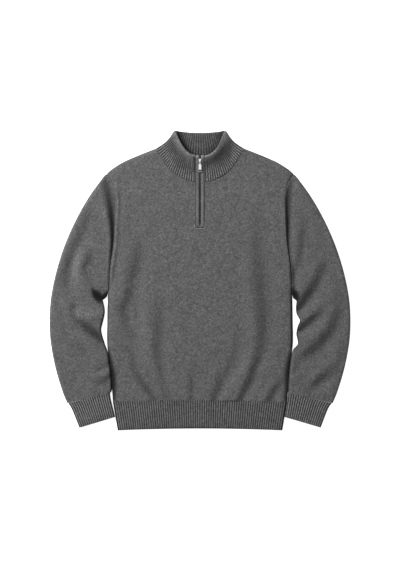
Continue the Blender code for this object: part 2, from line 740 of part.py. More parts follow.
def collar_side_fold(side):
    """Section of the collar at its side fold, between the front and back halves."""
    front = collar_section(side, "front", 1.0, 0.0)
    back = collar_section(side, "back", 1.0, 0.0)
    middle = COLLAR_BAND + 0.5 * LAYER_GAP
    lifts = [0.0] * (len(COLLAR_OUTSIDE) + 1)
    lifts += [COLLAR_FOLD_LIFT * (1.0 - up) ** 2 for up in COLLAR_INSIDE]
    fold = []
    for a, b, lift in zip(front, back, lifts):
        x, y = mix_points(a, b, 0.5)
        fold.append((x, y + lift, middle))
    return fold


def build_collar(material, collection):
    """Doubled rib collar, from one side of the zip, behind the neck, to the other."""
    front_steps = 2 * COLLAR_FRONT_RIBS
    back_steps = 2 * COLLAR_BACK_RIBS
    sections = []
    for side in ("right", "left"):
        sign = 1.0 if side == "left" else -1.0
        half = []
        for index in range(front_steps):
            share = index / front_steps * 0.985
            rib = RIB_PROUD if index % 2 else 0.0
            half.append(collar_section(side, "front", share, rib))
        half.append(collar_section(side, "front", 0.993, 0.0))
        half.append(collar_side_fold(side))
        half.append(collar_section(side, "back", 0.985, 0.0))
        for index in range(back_steps - 1, -1, -1):
            share = index / back_steps * 0.95
            rib = RIB_PROUD if index % 2 else 0.0
            half.append(collar_section(side, "back", share, rib))
        half = [[(sign * x, y, z) for x, y, z in section] for section in half]
        if side == "right":
            sections = half
        else:
            sections += list(reversed(half))[1:]
    mesh = loop_loft_mesh("collar", sections, crease=RIB_CREASE)
    return add_object("collar", mesh, material, collection)


def zip_surface(y):
    """Height of the cloth beside the zip, on the panel and then on the collar."""
    seam_y = NECK_SEAM_FRONT[0][1]
    top_y = COLLAR_TOP_LEFT[0][1]
    if y <= seam_y:
        return mix(front_height(SLOT_HALF, y), COLLAR_SEAM_HEIGHT, ease((y - seam_y + 20) / 20))
    return collar_front_top("left", 0.0, min(1.0, (y - seam_y) / (top_y - seam_y)))


def zip_path(foot, top, count):
    """Points (y, z) along the zip, from its foot to its top."""
    return [(y, zip_surface(y)) for y in (mix(foot, top, i / count) for i in range(count + 1))]


def build_trim(side, material, collection):
    """Narrow knit strip beside the teeth, which wraps over the collar's top edge."""
    sign = 1.0 if side == "left" else -1.0
    profile = (
        (0.0, 0.25), (0.12, 0.85), (0.5, 1.0), (0.88, 0.85), (1.0, 0.25), (0.92, 0.0), (0.08, 0.0))
    top_y = COLLAR_TOP_LEFT[0][1]
    path = [(y, z, Vector((1.0, 0.0))) for y, z in zip_path(
        SLOT_FOOT + END_BAR_LENGTH + LAYER_GAP, top_y - 4.0, 14)]
    last_y, last_z, _ = path[-1]
    radius = 4.2
    for angle in (30.0, 65.0, 100.0, 135.0):
        turn = math.radians(angle)
        y = last_y + 0.5 + radius * math.sin(turn)
        z = last_z - radius * (1.0 - math.cos(turn))
        path.append((y, z, Vector((math.cos(turn), -math.sin(turn)))))
    sections = []
    for y, z, along in path:
        normal = Vector((-along.y, along.x))
        section = []
        for across, high in profile:
            rise = TRIM_PROUD - TRIM_THICK * (1.0 - high)
            x = mix(TRIM_INNER, TRIM_OUTER, across)
            section.append((sign * x, y + normal.x * rise, z + normal.y * rise))
        sections.append(section)
    mesh = loop_loft_mesh("zip_trim_" + side, sections)
    return add_object("zip_trim_" + side, mesh, material, collection)


def build_trim_end(material, collection):
    """Bar of the same knit that closes the two strips at the foot of the zip."""
    height = front_height(SLOT_HALF, SLOT_FOOT)
    half = SLOT_HALF - LAYER_GAP
    sections = []
    for down, high in ((0.35, 0.1), (1.1, 0.85), (2.4, 1.0), (3.8, 0.85), (END_BAR_LENGTH, 0.1)):
        top = height + TRIM_PROUD - TRIM_THICK * 0.5 * (1.0 - high)
        low = height + TRIM_PROUD - TRIM_THICK
        y = SLOT_FOOT + down
        sections.append([(-half, y, low), (half, y, low), (half, y, top), (-half, y, top)])
    mesh = loop_loft_mesh("zip_trim_end", sections)
    return add_object("zip_trim_end", mesh, material, collection)


def build_zip_strip(name, x_range, depth, thick, foot, top, material, collection):
    """Flat strip along the zip, its upper face a given depth below the cloth beside it."""
    sections = []
    for y, z in zip_path(foot, top, 12):
        low = z - depth - thick
        high = z - depth
        sections.append([
            (x_range[0], y, low), (x_range[1], y, low), (x_range[1], y, high),
            (x_range[0], y, high)])
    mesh = loop_loft_mesh(name, sections)
    return add_object(name, mesh, material, collection)


def box_mesh(name, low, high):
    """Box between two corners, from a primitive cube."""
    box = bmesh.new()
    bmesh.ops.create_cube(box, size=1.0)
    size = [(high[axis] - low[axis]) * MM for axis in range(3)]
    centre = [(high[axis] + low[axis]) * 0.5 * MM for axis in range(3)]
    bmesh.ops.transform(box, matrix=Matrix.Diagonal((*size, 1.0)), verts=box.verts)
    bmesh.ops.translate(box, vec=centre, verts=box.verts)
    mesh = bpy.data.meshes.new(name)
    box.to_mesh(mesh)
    box.free()
    return mesh


def add_cutter(name, mesh, target, operation, frame, collection):
    """Cut from, or join to, a target with another mesh placed in the same frame."""
    cutter = bpy.data.objects.new(name, mesh)
    cutter.matrix_world = frame
    cutter.hide_render = True
    cutter.display_type = "WIRE"
    collection.objects.link(cutter)
    modifier = target.modifiers.new(name, "BOOLEAN")
    modifier.object = cutter
    modifier.operation = operation


def curve_mesh(name, curve, points):
    """Mesh of a curve through (x, y, z) points, its caps or flat faces welded on."""
    spline = curve.splines.new("POLY")
    spline.points.add(len(points) - 1)
    spline.use_cyclic_u = curve.dimensions == "2D"
    for place, point in zip(spline.points, points):
        place.co = (*(Vector(point) * MM), 1.0)
    line = bpy.data.objects.new(name, curve)
    bpy.context.scene.collection.objects.link(line)
    graph = bpy.context.evaluated_depsgraph_get()
    mesh = bpy.data.meshes.new_from_object(line.evaluated_get(graph))
    bpy.data.objects.remove(line)
    weld = bmesh.new()
    weld.from_mesh(mesh)
    bmesh.ops.remove_doubles(weld, verts=weld.verts, dist=0.00001)
    bmesh.ops.dissolve_limit(weld, angle_limit=0.001, verts=weld.verts, edges=weld.edges)
    bmesh.ops.recalc_face_normals(weld, faces=weld.faces)
    weld.to_mesh(mesh)
    weld.free()
    return mesh


def rod_mesh(name, points, radius):
    """Round wire through (x, y, z) points, with filled ends, as a mesh."""
    curve = bpy.data.curves.new(name, "CURVE")
    curve.dimensions = "3D"
    curve.bevel_depth = radius * MM
    curve.bevel_resolution = 2
    curve.use_fill_caps = True
    return curve_mesh(name, curve, points)


def plate_mesh(name, half_outline, thickness):
    """Flat plate, symmetric about X = 0, from the (x, y) points of its right half."""
    curve = bpy.data.curves.new(name, "CURVE")
    curve.dimensions = "2D"
    curve.fill_mode = "BOTH"
    curve.extrude = thickness / 2 * MM
    outline = list(half_outline) + [(-x, y) for x, y in reversed(half_outline)]
    return curve_mesh(name, curve, [(x, y, 0.0) for x, y in outline])


def add_bevel(part, width):
    """Round the edges of a part."""
    bevel = part.modifiers.new("rounded_edges", "BEVEL")
    bevel.width = width * MM
    bevel.segments = 2
    bevel.limit_method = "ANGLE"


def build_slider(frame, material, collection, cutters):
    """Slider plate with its core between the strips and the wire bridge that holds the pull tab.

    The frame's origin is the pull tab's axis, its X runs across the zip and its Z away from it.
    """
    plate_top = -PIN_RADIUS - 0.35
    plate = box_mesh("zip_slider", (-SLIDER_HALF, -SLIDER_LENGTH / 2, plate_top - SLIDER_THICK),
                     (SLIDER_HALF, SLIDER_LENGTH / 2, plate_top))
    slider = add_object("zip_slider", plate, material, collection)
    slider.matrix_world = frame
    add_bevel(slider, 0.6)
    core_half, core_reach, core_depth = SLIDER_CORE
    core = box_mesh("slider_core", (-core_half, -core_reach, plate_top - SLIDER_THICK - core_depth),
                    (core_half, core_reach, plate_top - SLIDER_THICK / 2))
    add_cutter("slider_core", core, slider, "UNION", frame, cutters)
    reach = BRIDGE_SPAN / 2
    arch = [(0.0, -reach, plate_top - 0.6), (0.0, -reach, 0.6)]
    for step in range(1, 6):
        turn = math.pi * step / 6
        arch.append((0.0, -reach * math.cos(turn), 0.6 + (BRIDGE_RISE - 1.6) * math.sin(turn)))
    arch += [(0.0, reach, 0.6), (0.0, reach, plate_top - 0.6)]
    bridge = rod_mesh("slider_bridge", arch, BRIDGE_WIRE)
    add_cutter("slider_bridge", bridge, slider, "UNION", frame, cutters)
    return slider


def build_pull(frame, material, collection, cutters):
    """Pull tab with a narrow neck, hung on its own cross bar under the slider's bridge."""
    axis = bpy.data.objects.new("pull_axis", None)
    axis.matrix_world = frame
    collection.objects.link(axis)
    neck_half, neck_length = PULL_NECK
    half_outline = [
        (neck_half, PIN_RADIUS), (neck_half, -neck_length),
        (PULL_HALF, -neck_length - 2.0 * (PULL_HALF - neck_half)),
        (PULL_HALF, -PULL_LENGTH + PULL_CORNER), (PULL_HALF - PULL_CORNER, -PULL_LENGTH)]
    pull = add_object("zip_pull", plate_mesh("zip_pull", half_outline, PULL_THICK), material,
                      collection)
    pull.parent = axis
    add_bevel(pull, 0.5)
    window = box_mesh("pull_window", (-PULL_WINDOW[0], -PULL_WINDOW[1], -3.0),
                      (PULL_WINDOW[0], -PIN_RADIUS, 3.0))
    add_cutter("pull_window", window, pull, "DIFFERENCE", frame, cutters)
    slot = box_mesh("pull_slot", (-PULL_SLOT[0], -PULL_SLOT_AT - PULL_SLOT[1], -3.0),
                    (PULL_SLOT[0], -PULL_SLOT_AT, 3.0))
    add_cutter("pull_slot", slot, pull, "DIFFERENCE", frame, cutters)
    return pull


def zip_frame():
    """Frame of the pull tab's axis, tilted with the collar."""
    ahead = SLIDER_Y + SLIDER_LENGTH / 2
    behind = SLIDER_Y - SLIDER_LENGTH
    tilt = math.atan2(zip_surface(ahead) - zip_surface(behind), ahead - behind)
    lift = TRIM_PROUD + LAYER_GAP + SLIDER_THICK + PIN_RADIUS + 0.35
    origin = Vector((0.0, SLIDER_Y, zip_surface(SLIDER_Y) + lift)) * MM
    return Matrix.Translation(origin) @ Matrix.Rotation(tilt, 4, "X")


def main():
    """Build the whole garment."""
    for old in list(bpy.data.objects):
        bpy.data.objects.remove(old)
    parts = new_collection("knit_pullover")
    cutters = new_collection("cutters")
    knit = new_material("plain_knit", KNIT_COLOUR, 0.95, 0.0)
    rib = new_material("rib_knit", RIB_COLOUR, 0.95, 0.0)
    tape = new_material("zip_tape", TAPE_COLOUR, 0.9, 0.0)
    chain = new_material("zip_teeth", CHAIN_COLOUR, 0.45, 0.6)
    metal = new_material("polished_metal", METAL_COLOUR, 0.28, 1.0)
    build_front(knit.copy(), parts)
    build_back(knit.copy(), parts)
    build_hem_front(rib.copy(), parts)
    build_hem_back(rib.copy(), parts)
    for side in ("left", "right"):
        build_sleeve(side, knit.copy(), parts)
        build_cuff(side, rib.copy(), parts)
        build_trim(side, knit.copy(), parts)
    build_collar(rib.copy(), parts)
    build_trim_end(knit.copy(), parts)
    top_y = COLLAR_TOP_LEFT[0][1]
    tape_depth = TRIM_THICK - TRIM_PROUD + LAYER_GAP
    tape_foot = SLOT_FOOT + 1.0
    for side, span in (("left", (0.2, 11.5)), ("right", (-11.5, -0.2))):
        build_zip_strip("zip_tape_" + side, span, tape_depth, TAPE_THICK, tape_foot,
                        top_y - 6.5, tape.copy(), parts)
    build_zip_strip("zip_chain", (-CHAIN_HALF, CHAIN_HALF), tape_depth - LAYER_GAP - CHAIN_THICK,
                    CHAIN_THICK, SLOT_FOOT + END_BAR_LENGTH + LAYER_GAP, top_y - 7.0,
                    chain.copy(), parts)
    frame = zip_frame()
    build_slider(frame, metal.copy(), parts, cutters)
    build_pull(frame, metal.copy(), parts, cutters)


main()
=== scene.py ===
"""Looks of a quarter-zip knit pullover laid flat: knit shells, ribs, zip, seams and studio.

X runs across the garment, with +X towards the wearer's left sleeve, Y from the hem to the neck
and Z up from the floor. Sizes are in millimetres and become metres where a mesh is made.
"""
import logging
import math
from dataclasses import dataclass, field
from enum import Enum

import bmesh
import bpy
import numpy as np
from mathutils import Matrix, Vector


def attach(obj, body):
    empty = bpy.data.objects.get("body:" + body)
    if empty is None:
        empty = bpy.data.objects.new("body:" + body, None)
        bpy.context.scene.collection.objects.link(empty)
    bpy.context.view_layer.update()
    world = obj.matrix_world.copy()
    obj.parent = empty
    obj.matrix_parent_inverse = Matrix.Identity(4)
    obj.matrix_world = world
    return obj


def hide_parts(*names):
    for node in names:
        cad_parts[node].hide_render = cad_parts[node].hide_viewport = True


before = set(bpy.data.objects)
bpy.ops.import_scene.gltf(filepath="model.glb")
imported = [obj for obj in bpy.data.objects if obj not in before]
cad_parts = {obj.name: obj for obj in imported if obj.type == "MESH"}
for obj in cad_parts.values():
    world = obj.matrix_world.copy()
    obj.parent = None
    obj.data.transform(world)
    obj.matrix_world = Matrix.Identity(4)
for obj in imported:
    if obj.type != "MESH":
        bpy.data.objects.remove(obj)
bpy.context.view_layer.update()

BODY = "garment"
MM = 0.001
LOG = logging.getLogger("pullover")

FAR = 1e9

Rows = tuple[tuple[float, ...], ...]
Array = np.ndarray
Socket = bpy.types.NodeSocket
Piece = bpy.types.Object


class Side(Enum):
    """Side of the garment, by its sign along X."""

    LEFT = 1.0
    RIGHT = -1.0

    @property
    def label(self) -> str:
        """Name used in node and piece names."""
        return self.name.lower()


def ease(value: Array | float) -> Array:
    """Smooth step of a position, 0 at the start and 1 at the end."""
    u = np.clip(value, 0.0, 1.0)
    return u * u * (3.0 - 2.0 * u)


def mix(a: Array | float, b: Array | float, share: Array | float) -> Array | float:
    """Value a share of the way from a to b."""
    return a + (b - a) * share


def quarter_round(distance: Array | float, reach: Array | float) -> Array:
    """Quarter circle from 0 at an edge to 1 at a distance of reach."""
    u = np.clip(np.asarray(distance) / reach, 0.0, 1.0)
    return np.sqrt(1.0 - (1.0 - u) ** 2)


@dataclass(frozen=True)
class Curve:
    """Smooth curve through (station, value) rows."""

    rows: Rows

    def at(self, station: Array | float) -> Array:
        """Value of the curve.

        Args:
            station: Where to read the curve, held within its ends.

        Returns:
            The value at each station.
        """
        stations = np.array([row[0] for row in self.rows])
        values = np.array([row[1] for row in self.rows])
        before = np.maximum(np.arange(len(stations)) - 1, 0)
        after = np.minimum(np.arange(len(stations)) + 1, len(stations) - 1)
        slopes = (values[after] - values[before]) / (stations[after] - stations[before])
        held = np.clip(station, stations[0], stations[-1])
        index = np.clip(np.searchsorted(stations, held, side="right") - 1, 0, len(stations) - 2)
        span = stations[index + 1] - stations[index]
        u = (held - stations[index]) / span
        return (
            values[index] * (2 * u ** 3 - 3 * u ** 2 + 1)
            + slopes[index] * span * (u ** 3 - 2 * u ** 2 + u)
            + values[index + 1] * (3 * u ** 2 - 2 * u ** 3)
            + slopes[index + 1] * span * (u ** 3 - u ** 2)
        )

    def points(self, count: int = 80) -> Array:
        """Points (x, y) along the curve, evenly spaced by station."""
        across = np.linspace(self.rows[0][0], self.rows[-1][0], count)
        return np.stack([across, self.at(across)], axis=-1)


def along(points: Array, share: Array | float) -> tuple[Array, Array]:
    """Place, as x and y, on a line of (x, y) points by its share of the length.

    Args:
        points: Line of (x, y) points.
        share: Share of the length, from 0 to 1.

    Returns:
        The x and the y of each place.
    """
    steps = np.hypot(*np.diff(points, axis=0).T)
    passed = np.concatenate([[0.0], np.cumsum(steps)]) / steps.sum()
    return np.interp(share, passed, points[:, 0]), np.interp(share, passed, points[:, 1])


@dataclass(frozen=True)
class Line:
    """Smooth open line through (x, y) rows."""

    rows: Rows

    def points(self, pieces: int = 5) -> Array:
        """Points along the line.

        Args:
            pieces: How many pieces stand between two rows.

        Returns:
            Array of (x, y) points.
        """
        knots = np.array(self.rows, dtype=float)
        if len(knots) == 2:
            return knots
        stations = np.concatenate([[0.0], np.cumsum(np.hypot(*np.diff(knots, axis=0).T))])
        fine = np.concatenate([
            np.linspace(a, b, pieces, endpoint=False) for a, b in zip(stations, stations[1:])])
        fine = np.append(fine, stations[-1])
        x = Curve(tuple(zip(stations, knots[:, 0]))).at(fine)
        y = Curve(tuple(zip(stations, knots[:, 1]))).at(fine)
        return np.stack([x, y], axis=-1)


def spread(values: tuple[float, ...], share: Array) -> Array:
    """Smooth value at a share of a line from values spaced evenly along it.

    Args:
        values: Values along the line.
        share: Share of the line's length.

    Returns:
        The value at each share.
    """
    if len(values) == 1:
        return np.full(np.shape(share), values[0])
    return Curve(tuple(zip(np.linspace(0.0, 1.0, len(values)), values))).at(share)


class Bend(Enum):
    """How the cloth bends across a crease."""

    ROLL = "roll"
    FOLD = "fold"


@dataclass(frozen=True)
class Crease:
    """Soft crease of the cloth along a line.

    A roll rises along its line, or sinks where its heights are negative. A fold is high on the
    right of its line, looking along it, and low on the left. heights and widths are spaced evenly
    along the line, and shade is painted shade that darkens the knit's colour along it, or a painted
    highlight where it is negative.
    """

    bend: Bend
    heights: tuple[float, ...]
    widths: tuple[float, ...]
    line: Rows
    shade: float = 0.0

    def measure(self, x: Array, y: Array) -> tuple[Array, Array]:
        """Place of each point by the crease.

        Args:
            x: Distance across.
            y: Distance along.

        Returns:
            Signed distance from the line, in widths, and the share of its length.
        """
        points = Line(self.line).points()
        steps = np.hypot(*np.diff(points, axis=0).T)
        nearest = np.full(np.shape(x), FAR)
        share = np.zeros(np.shape(x))
        sign = np.ones(np.shape(x))
        passed = 0.0
        for (ax, ay), (bx, by), step in zip(points, points[1:], steps):
            u = np.clip(((x - ax) * (bx - ax) + (y - ay) * (by - ay)) / step ** 2, 0.0, 1.0)
            dx = x - mix(ax, bx, u)
            dy = y - mix(ay, by, u)
            away = np.hypot(dx, dy)
            closer = away < nearest
            nearest = np.where(closer, away, nearest)
            share = np.where(closer, (passed + u * step) / steps.sum(), share)
            turn = (by - ay) * dx - (bx - ax) * dy
            sign = np.where(closer, np.sign(turn), sign)
            passed += step
        return sign * nearest / spread(self.widths, share), share

    def at(self, x: Array, y: Array) -> Array:
        """Height that the crease adds.

        Args:
            x: Distance across.
            y: Distance along.

        Returns:
            The height at each point.
        """
        across, share = self.measure(x, y)
        height = spread(self.heights, share)
        if self.bend is Bend.ROLL:
            return height * np.exp(-across ** 2)
        return height * across * np.exp(0.5 - 0.5 * across ** 2)

    def painted_shade_at(self, x: Array, y: Array) -> Array:
        """Painted shade along the crease, darkening the knit's colour.

        Args:
            x: Distance across.
            y: Distance along.

        Returns:
            The painted shade at each point, below 0 where a highlight is painted.
        """
        across, share = self.measure(x, y)
        strength = spread(self.heights, share) / max(abs(height) for height in self.heights)
        return self.shade * np.abs(strength) * np.exp(-across ** 2)


@dataclass(frozen=True)
class CreaseField:
    """All the creases of one piece."""

    creases: tuple[Crease, ...]

    def at(self, x: Array, y: Array) -> Array:
        """Sum of the creases at each point."""
        return sum((crease.at(x, y) for crease in self.creases), np.zeros(np.shape(x)))

    def painted_shade_at(self, x: Array, y: Array) -> Array:
        """Painted shade at each point, below 0 where a highlight is painted."""
        shaded = (crease.painted_shade_at(x, y) for crease in self.creases if crease.shade)
        return sum(shaded, np.zeros(np.shape(x)))


def fold(heights: tuple[float, ...], widths: tuple[float, ...], line: Rows,
         shade: float = 0.0) -> Crease:
    """Fold along a line, high on the right of the way along it."""
    return Crease(Bend.FOLD, heights, widths, line, shade)


def roll(heights: tuple[float, ...], widths: tuple[float, ...], line: Rows,
         shade: float = 0.0) -> Crease:
    """Ridge along a line, or a trough where the heights are negative."""
    return Crease(Bend.ROLL, heights, widths, line, shade)


@dataclass(frozen=True)
class Swell:
    """Gentle unevenness of hand-laid knit, as waves that cross each other.

    length is the typical distance between two swells, and seed shifts the pattern. Each next wave
    turns and is longer, and wavers a little from a straight front.
    """

    height: float
    length: float
    seed: float
    waves: int = 5
    turn: float = 2.4
    shortest: float = 0.75
    growth: float = 0.22
    waver: float = 0.8
    waver_pace: float = 0.37
    waver_shift: float = 3.1
    shift: float = 1.7
    share: float = 1.0 / 3.0

    def at(self, x: Array, y: Array) -> Array:
        """Height that the unevenness adds.

        Args:
            x: Distance across.
            y: Distance along.

        Returns:
            The height at each point.
        """
        total = np.zeros(np.shape(x))
        for index in range(self.waves):
            heading = self.seed + self.turn * index
            stretch = self.length * (self.shortest + self.growth * index)
            phase = (x * math.cos(heading) + y * math.sin(heading)) * 2.0 * math.pi / stretch
            bend = self.waver * np.sin(phase * self.waver_pace + self.seed * self.waver_shift + index)
            total = total + np.sin(phase + bend + self.shift * index * self.seed)
        return self.height * self.share * total


def bell(distance: Array | float, width: float) -> Array:
    """Bell curve, 1 in the middle and falling off over a width."""
    return np.exp(-(distance / width) ** 2)


def grid(x: Array, y: Array, z: Array | float) -> Array:
    """Stack three numbers of every point along a last axis."""
    return np.stack(np.broadcast_arrays(x, y, z), -1)


# ---- sizes shared by the pieces, in millimetres ----

JERSEY_WALL = 2.6
RIB_WALL = 3.0
BAND_WALL = 4.8
GAP = 0.3
SEAM_LAP = 0.12
CUT_EDGE = math.radians(75.0)
SELVEDGE_RISE = 0.9
SIDE_SEAM_HEIGHT = 4.4
BODY_HEIGHT = 9.0
SHOULDER_TIP = (233.5, 266.0)
ARMPIT_Y = -26.0
SLOT_HALF = 11.5
SLOT_FOOT = 131.0

# Half width of the body at the side seam and round the armhole: (y, half width).
BODY_SIDE = Curve(((-302.5, 217.6), (-281, 219), (-236, 222.3), (-199, 226.3), (-174, 230.3),
    (-150, 232.3), (-100, 231.6), (-54, 230.8), (-26, 229.6), (1, 227.2), (26, 225), (51, 221.9),
    (76, 218.2), (101, 215.3), (126, 213.8), (151, 212.9), (180, 211.6), (206, 211.2), (224, 213.2),
    (241, 218), (256, 226.5), (266, 233.5)))
# Height of the armhole seam above the floor: (y, height).
ARMHOLE_HEIGHT = {
    Side.RIGHT: Curve(((-302.5, 4.4), (-40, 4.4), (-26, 5.4), (0, 7), (40, 7.4), (70, 6.6), (110, 6),
        (200, 7), (235, 7), (256, 5.6), (266, 4.6))),
    Side.LEFT: Curve(((-302.5, 4.4), (-40, 4.4), (-26, 5), (0, 7.6), (40, 10.2), (110, 11.2), (200, 10.8),
        (235, 8.6), (256, 5.6), (266, 4.6))),
}
# Width of the slope that climbs out of the valley beside each armhole seam: (y, width).
VALLEY_WIDTH = {
    Side.RIGHT: Curve(((-26, 5), (26, 6), (60, 9), (100, 13), (150, 18), (266, 21))),
    Side.LEFT: Curve(((-26, 15), (20, 17), (60, 13), (100, 15), (150, 19), (266, 19))),
}
VALLEY_FLOOR = 5.8
NECK_FRONT = Curve(((11.5, 246.8), (27, 249), (40, 254.3), (54, 261), (67.5, 269.8), (78, 280.5),
    (87.5, 293.3), (99, 311.5), (110, 330)))
NECK_BACK = Curve(((0, 306), (37.5, 308.5), (75, 316), (110, 330)))
NECK_POINT_X = 110.0
SHOULDER_LINE = Curve(((110, 330), (121, 325.6), (133, 321), (151, 313.8), (169, 306.3), (186, 298.8),
    (200, 291.3), (212, 283.8), (223, 276), (233.5, 266)))
HEM_SEAM_MIDDLE = -299.5
HEM_SEAM_SIDE = -302.5
HEM_SEAM_HALF = float(BODY_SIDE.at(HEM_SEAM_SIDE))
ARMPIT_X = float(BODY_SIDE.at(ARMPIT_Y))
TOUCHING = 1e-6


@dataclass
class Wall:
    """Two facing grids of points, rows by columns, that close into one wall of cloth.

    knit holds the distance across and along the knit of each point and its painted shade, which is
    about 1 in a rib furrow and below 0 where a highlight is painted, and cloth says which cells hold
    cloth.
    """

    name: str
    outer: Array
    inner: Array
    knit: Array
    cloth: Array | None = None
    wrap: bool = False

    def faces(self) -> Array:
        """Find the faces of both grids and of the rims.

        Returns:
            Four corners of every face.
        """
        rows, columns = self.outer.shape[:2]
        across = columns if self.wrap else columns - 1
        cloth = self.cloth
        if cloth is None:
            cloth = np.ones((rows - 1, across), dtype=bool)
        row, column = np.nonzero(cloth)
        after = (column + 1) % columns
        corners = np.stack([
            row * columns + column, row * columns + after,
            (row + 1) * columns + after, (row + 1) * columns + column], axis=-1)
        inside = corners[:, ::-1] + rows * columns
        padded = np.zeros((rows + 1, across + 2), dtype=bool)
        padded[1:-1, 1:-1] = cloth
        if self.wrap:
            padded[1:-1, 0] = cloth[:, -1]
            padded[1:-1, -1] = cloth[:, 0]
        made = [corners, inside]
        neighbours = ((0, 1, -1, 0), (1, 2, 0, 1), (2, 3, 1, 0), (3, 0, 0, -1))
        for start, end, down, over in neighbours:
            open_edge = ~padded[row + 1 + down, column + 1 + over]
            a = corners[open_edge, start]
            b = corners[open_edge, end]
            made.append(np.stack([b, a, a + rows * columns, b + rows * columns], axis=-1))
        return np.concatenate(made)

    def build(self) -> Piece:
        """Make the mesh object, with its knit distances as an attribute.

        Returns:
            The piece, its faces turned outward and its cut edges sharp.
        """
        points = np.concatenate([self.outer.reshape(-1, 3), self.inner.reshape(-1, 3)])
        knit = np.concatenate([self.knit.reshape(-1, 3), self.knit.reshape(-1, 3)])
        faces = self.faces()
        used, faces = np.unique(faces, return_inverse=True)
        piece = make_piece(self.name, points[used], faces.reshape(-1, 4).tolist(), knit[used])
        orient(piece)
        piece.data.set_sharp_from_angle(angle=CUT_EDGE)
        return piece


def make_piece(name: str, points: Array, faces: list[list[int]], knit: Array | None) -> Piece:
    """Make a smooth mesh object.

    Args:
        name: Name of the piece.
        points: Vertices (x, y, z), in millimetres.
        faces: Corners of the faces.
        knit: Distance across and along the knit and its shade, for each vertex.

    Returns:
        The object, linked to the scene.
    """
    mesh = bpy.data.meshes.new(name)
    mesh.from_pydata((points * MM).tolist(), [], faces)
    if knit is not None:
        attribute = mesh.attributes.new("knit", "FLOAT_VECTOR", "POINT")
        attribute.data.foreach_set("vector", (knit * MM).astype(np.float32).ravel())
    mesh.validate()
    mesh.update()
    mesh.shade_smooth()
    piece = bpy.data.objects.new(name, mesh)
    bpy.context.scene.collection.objects.link(piece)
    return piece


def orient(piece: Piece) -> None:
    """Turn the faces of a closed mesh outward.

    Args:
        piece: A piece whose faces all turn the same way.
    """
    mesh = piece.data
    mesh.calc_loop_triangles()
    places = np.empty(3 * len(mesh.vertices))
    mesh.vertices.foreach_get("co", places)
    corners = np.empty(3 * len(mesh.loop_triangles), dtype=np.int32)
    mesh.loop_triangles.foreach_get("vertices", corners)
    a, b, c = places.reshape(-1, 3)[corners.reshape(-1, 3)].transpose(1, 0, 2)
    if np.sum(a * np.cross(b, c)) < 0.0:
        mesh.flip_normals()


def close_ends(piece: Piece, caps: list[list[int]]) -> None:
    """Add end faces to a loft.

    Args:
        piece: The lofted piece.
        caps: Corners of each end face.
    """
    shell = bmesh.new()
    shell.from_mesh(piece.data)
    shell.verts.ensure_lookup_table()
    made = [shell.faces.new([shell.verts[index] for index in cap]) for cap in caps]
    bmesh.ops.triangulate(shell, faces=made)
    bmesh.ops.recalc_face_normals(shell, faces=shell.faces)
    shell.to_mesh(piece.data)
    shell.free()
    piece.data.shade_smooth()


def loft(name: str, sections: Array, knit: Array) -> Piece:
    """Make one closed solid through a row of closed sections.

    Args:
        name: Name of the piece.
        sections: Points (x, y, z), sections by corners.
        knit: Distance across and along the knit and its shade, for each point.

    Returns:
        The piece, with its two ends closed.
    """
    rings, corners = sections.shape[:2]
    index = np.arange(rings * corners).reshape(rings, corners)
    after = np.roll(index, -1, axis=1)
    faces = np.stack([index[:-1], after[:-1], after[1:], index[1:]], -1).reshape(-1, 4)
    piece = make_piece(name, sections.reshape(-1, 3), faces.tolist(), knit.reshape(-1, 3))
    close_ends(piece, [list(index[0][::-1]), list(index[-1])])
    orient(piece)
    return piece


def beads(name: str, sections: Array, shade: float | None = None) -> Piece:
    """Make many small closed solids as one mesh.

    Args:
        name: Name of the piece.
        sections: Points (x, y, z), solids by sections by corners.
        shade: Painted shade of the knit on all of them, or None where they aren't knit.

    Returns:
        The piece.
    """
    solids, rings, corners = sections.shape[:3]
    index = np.arange(solids * rings * corners).reshape(solids, rings, corners)
    after = np.roll(index, -1, axis=2)
    sides = np.stack([index[:, :-1], after[:, :-1], after[:, 1:], index[:, 1:]], -1).reshape(-1, 4)
    faces = sides.tolist() + index[:, 0, ::-1].tolist() + index[:, -1].tolist()
    knit = None if shade is None else np.tile((0.0, 0.0, shade), (index.size, 1))
    piece = make_piece(name, sections.reshape(-1, 3), faces, knit)
    orient(piece)
    return piece


# ---- finishes ----


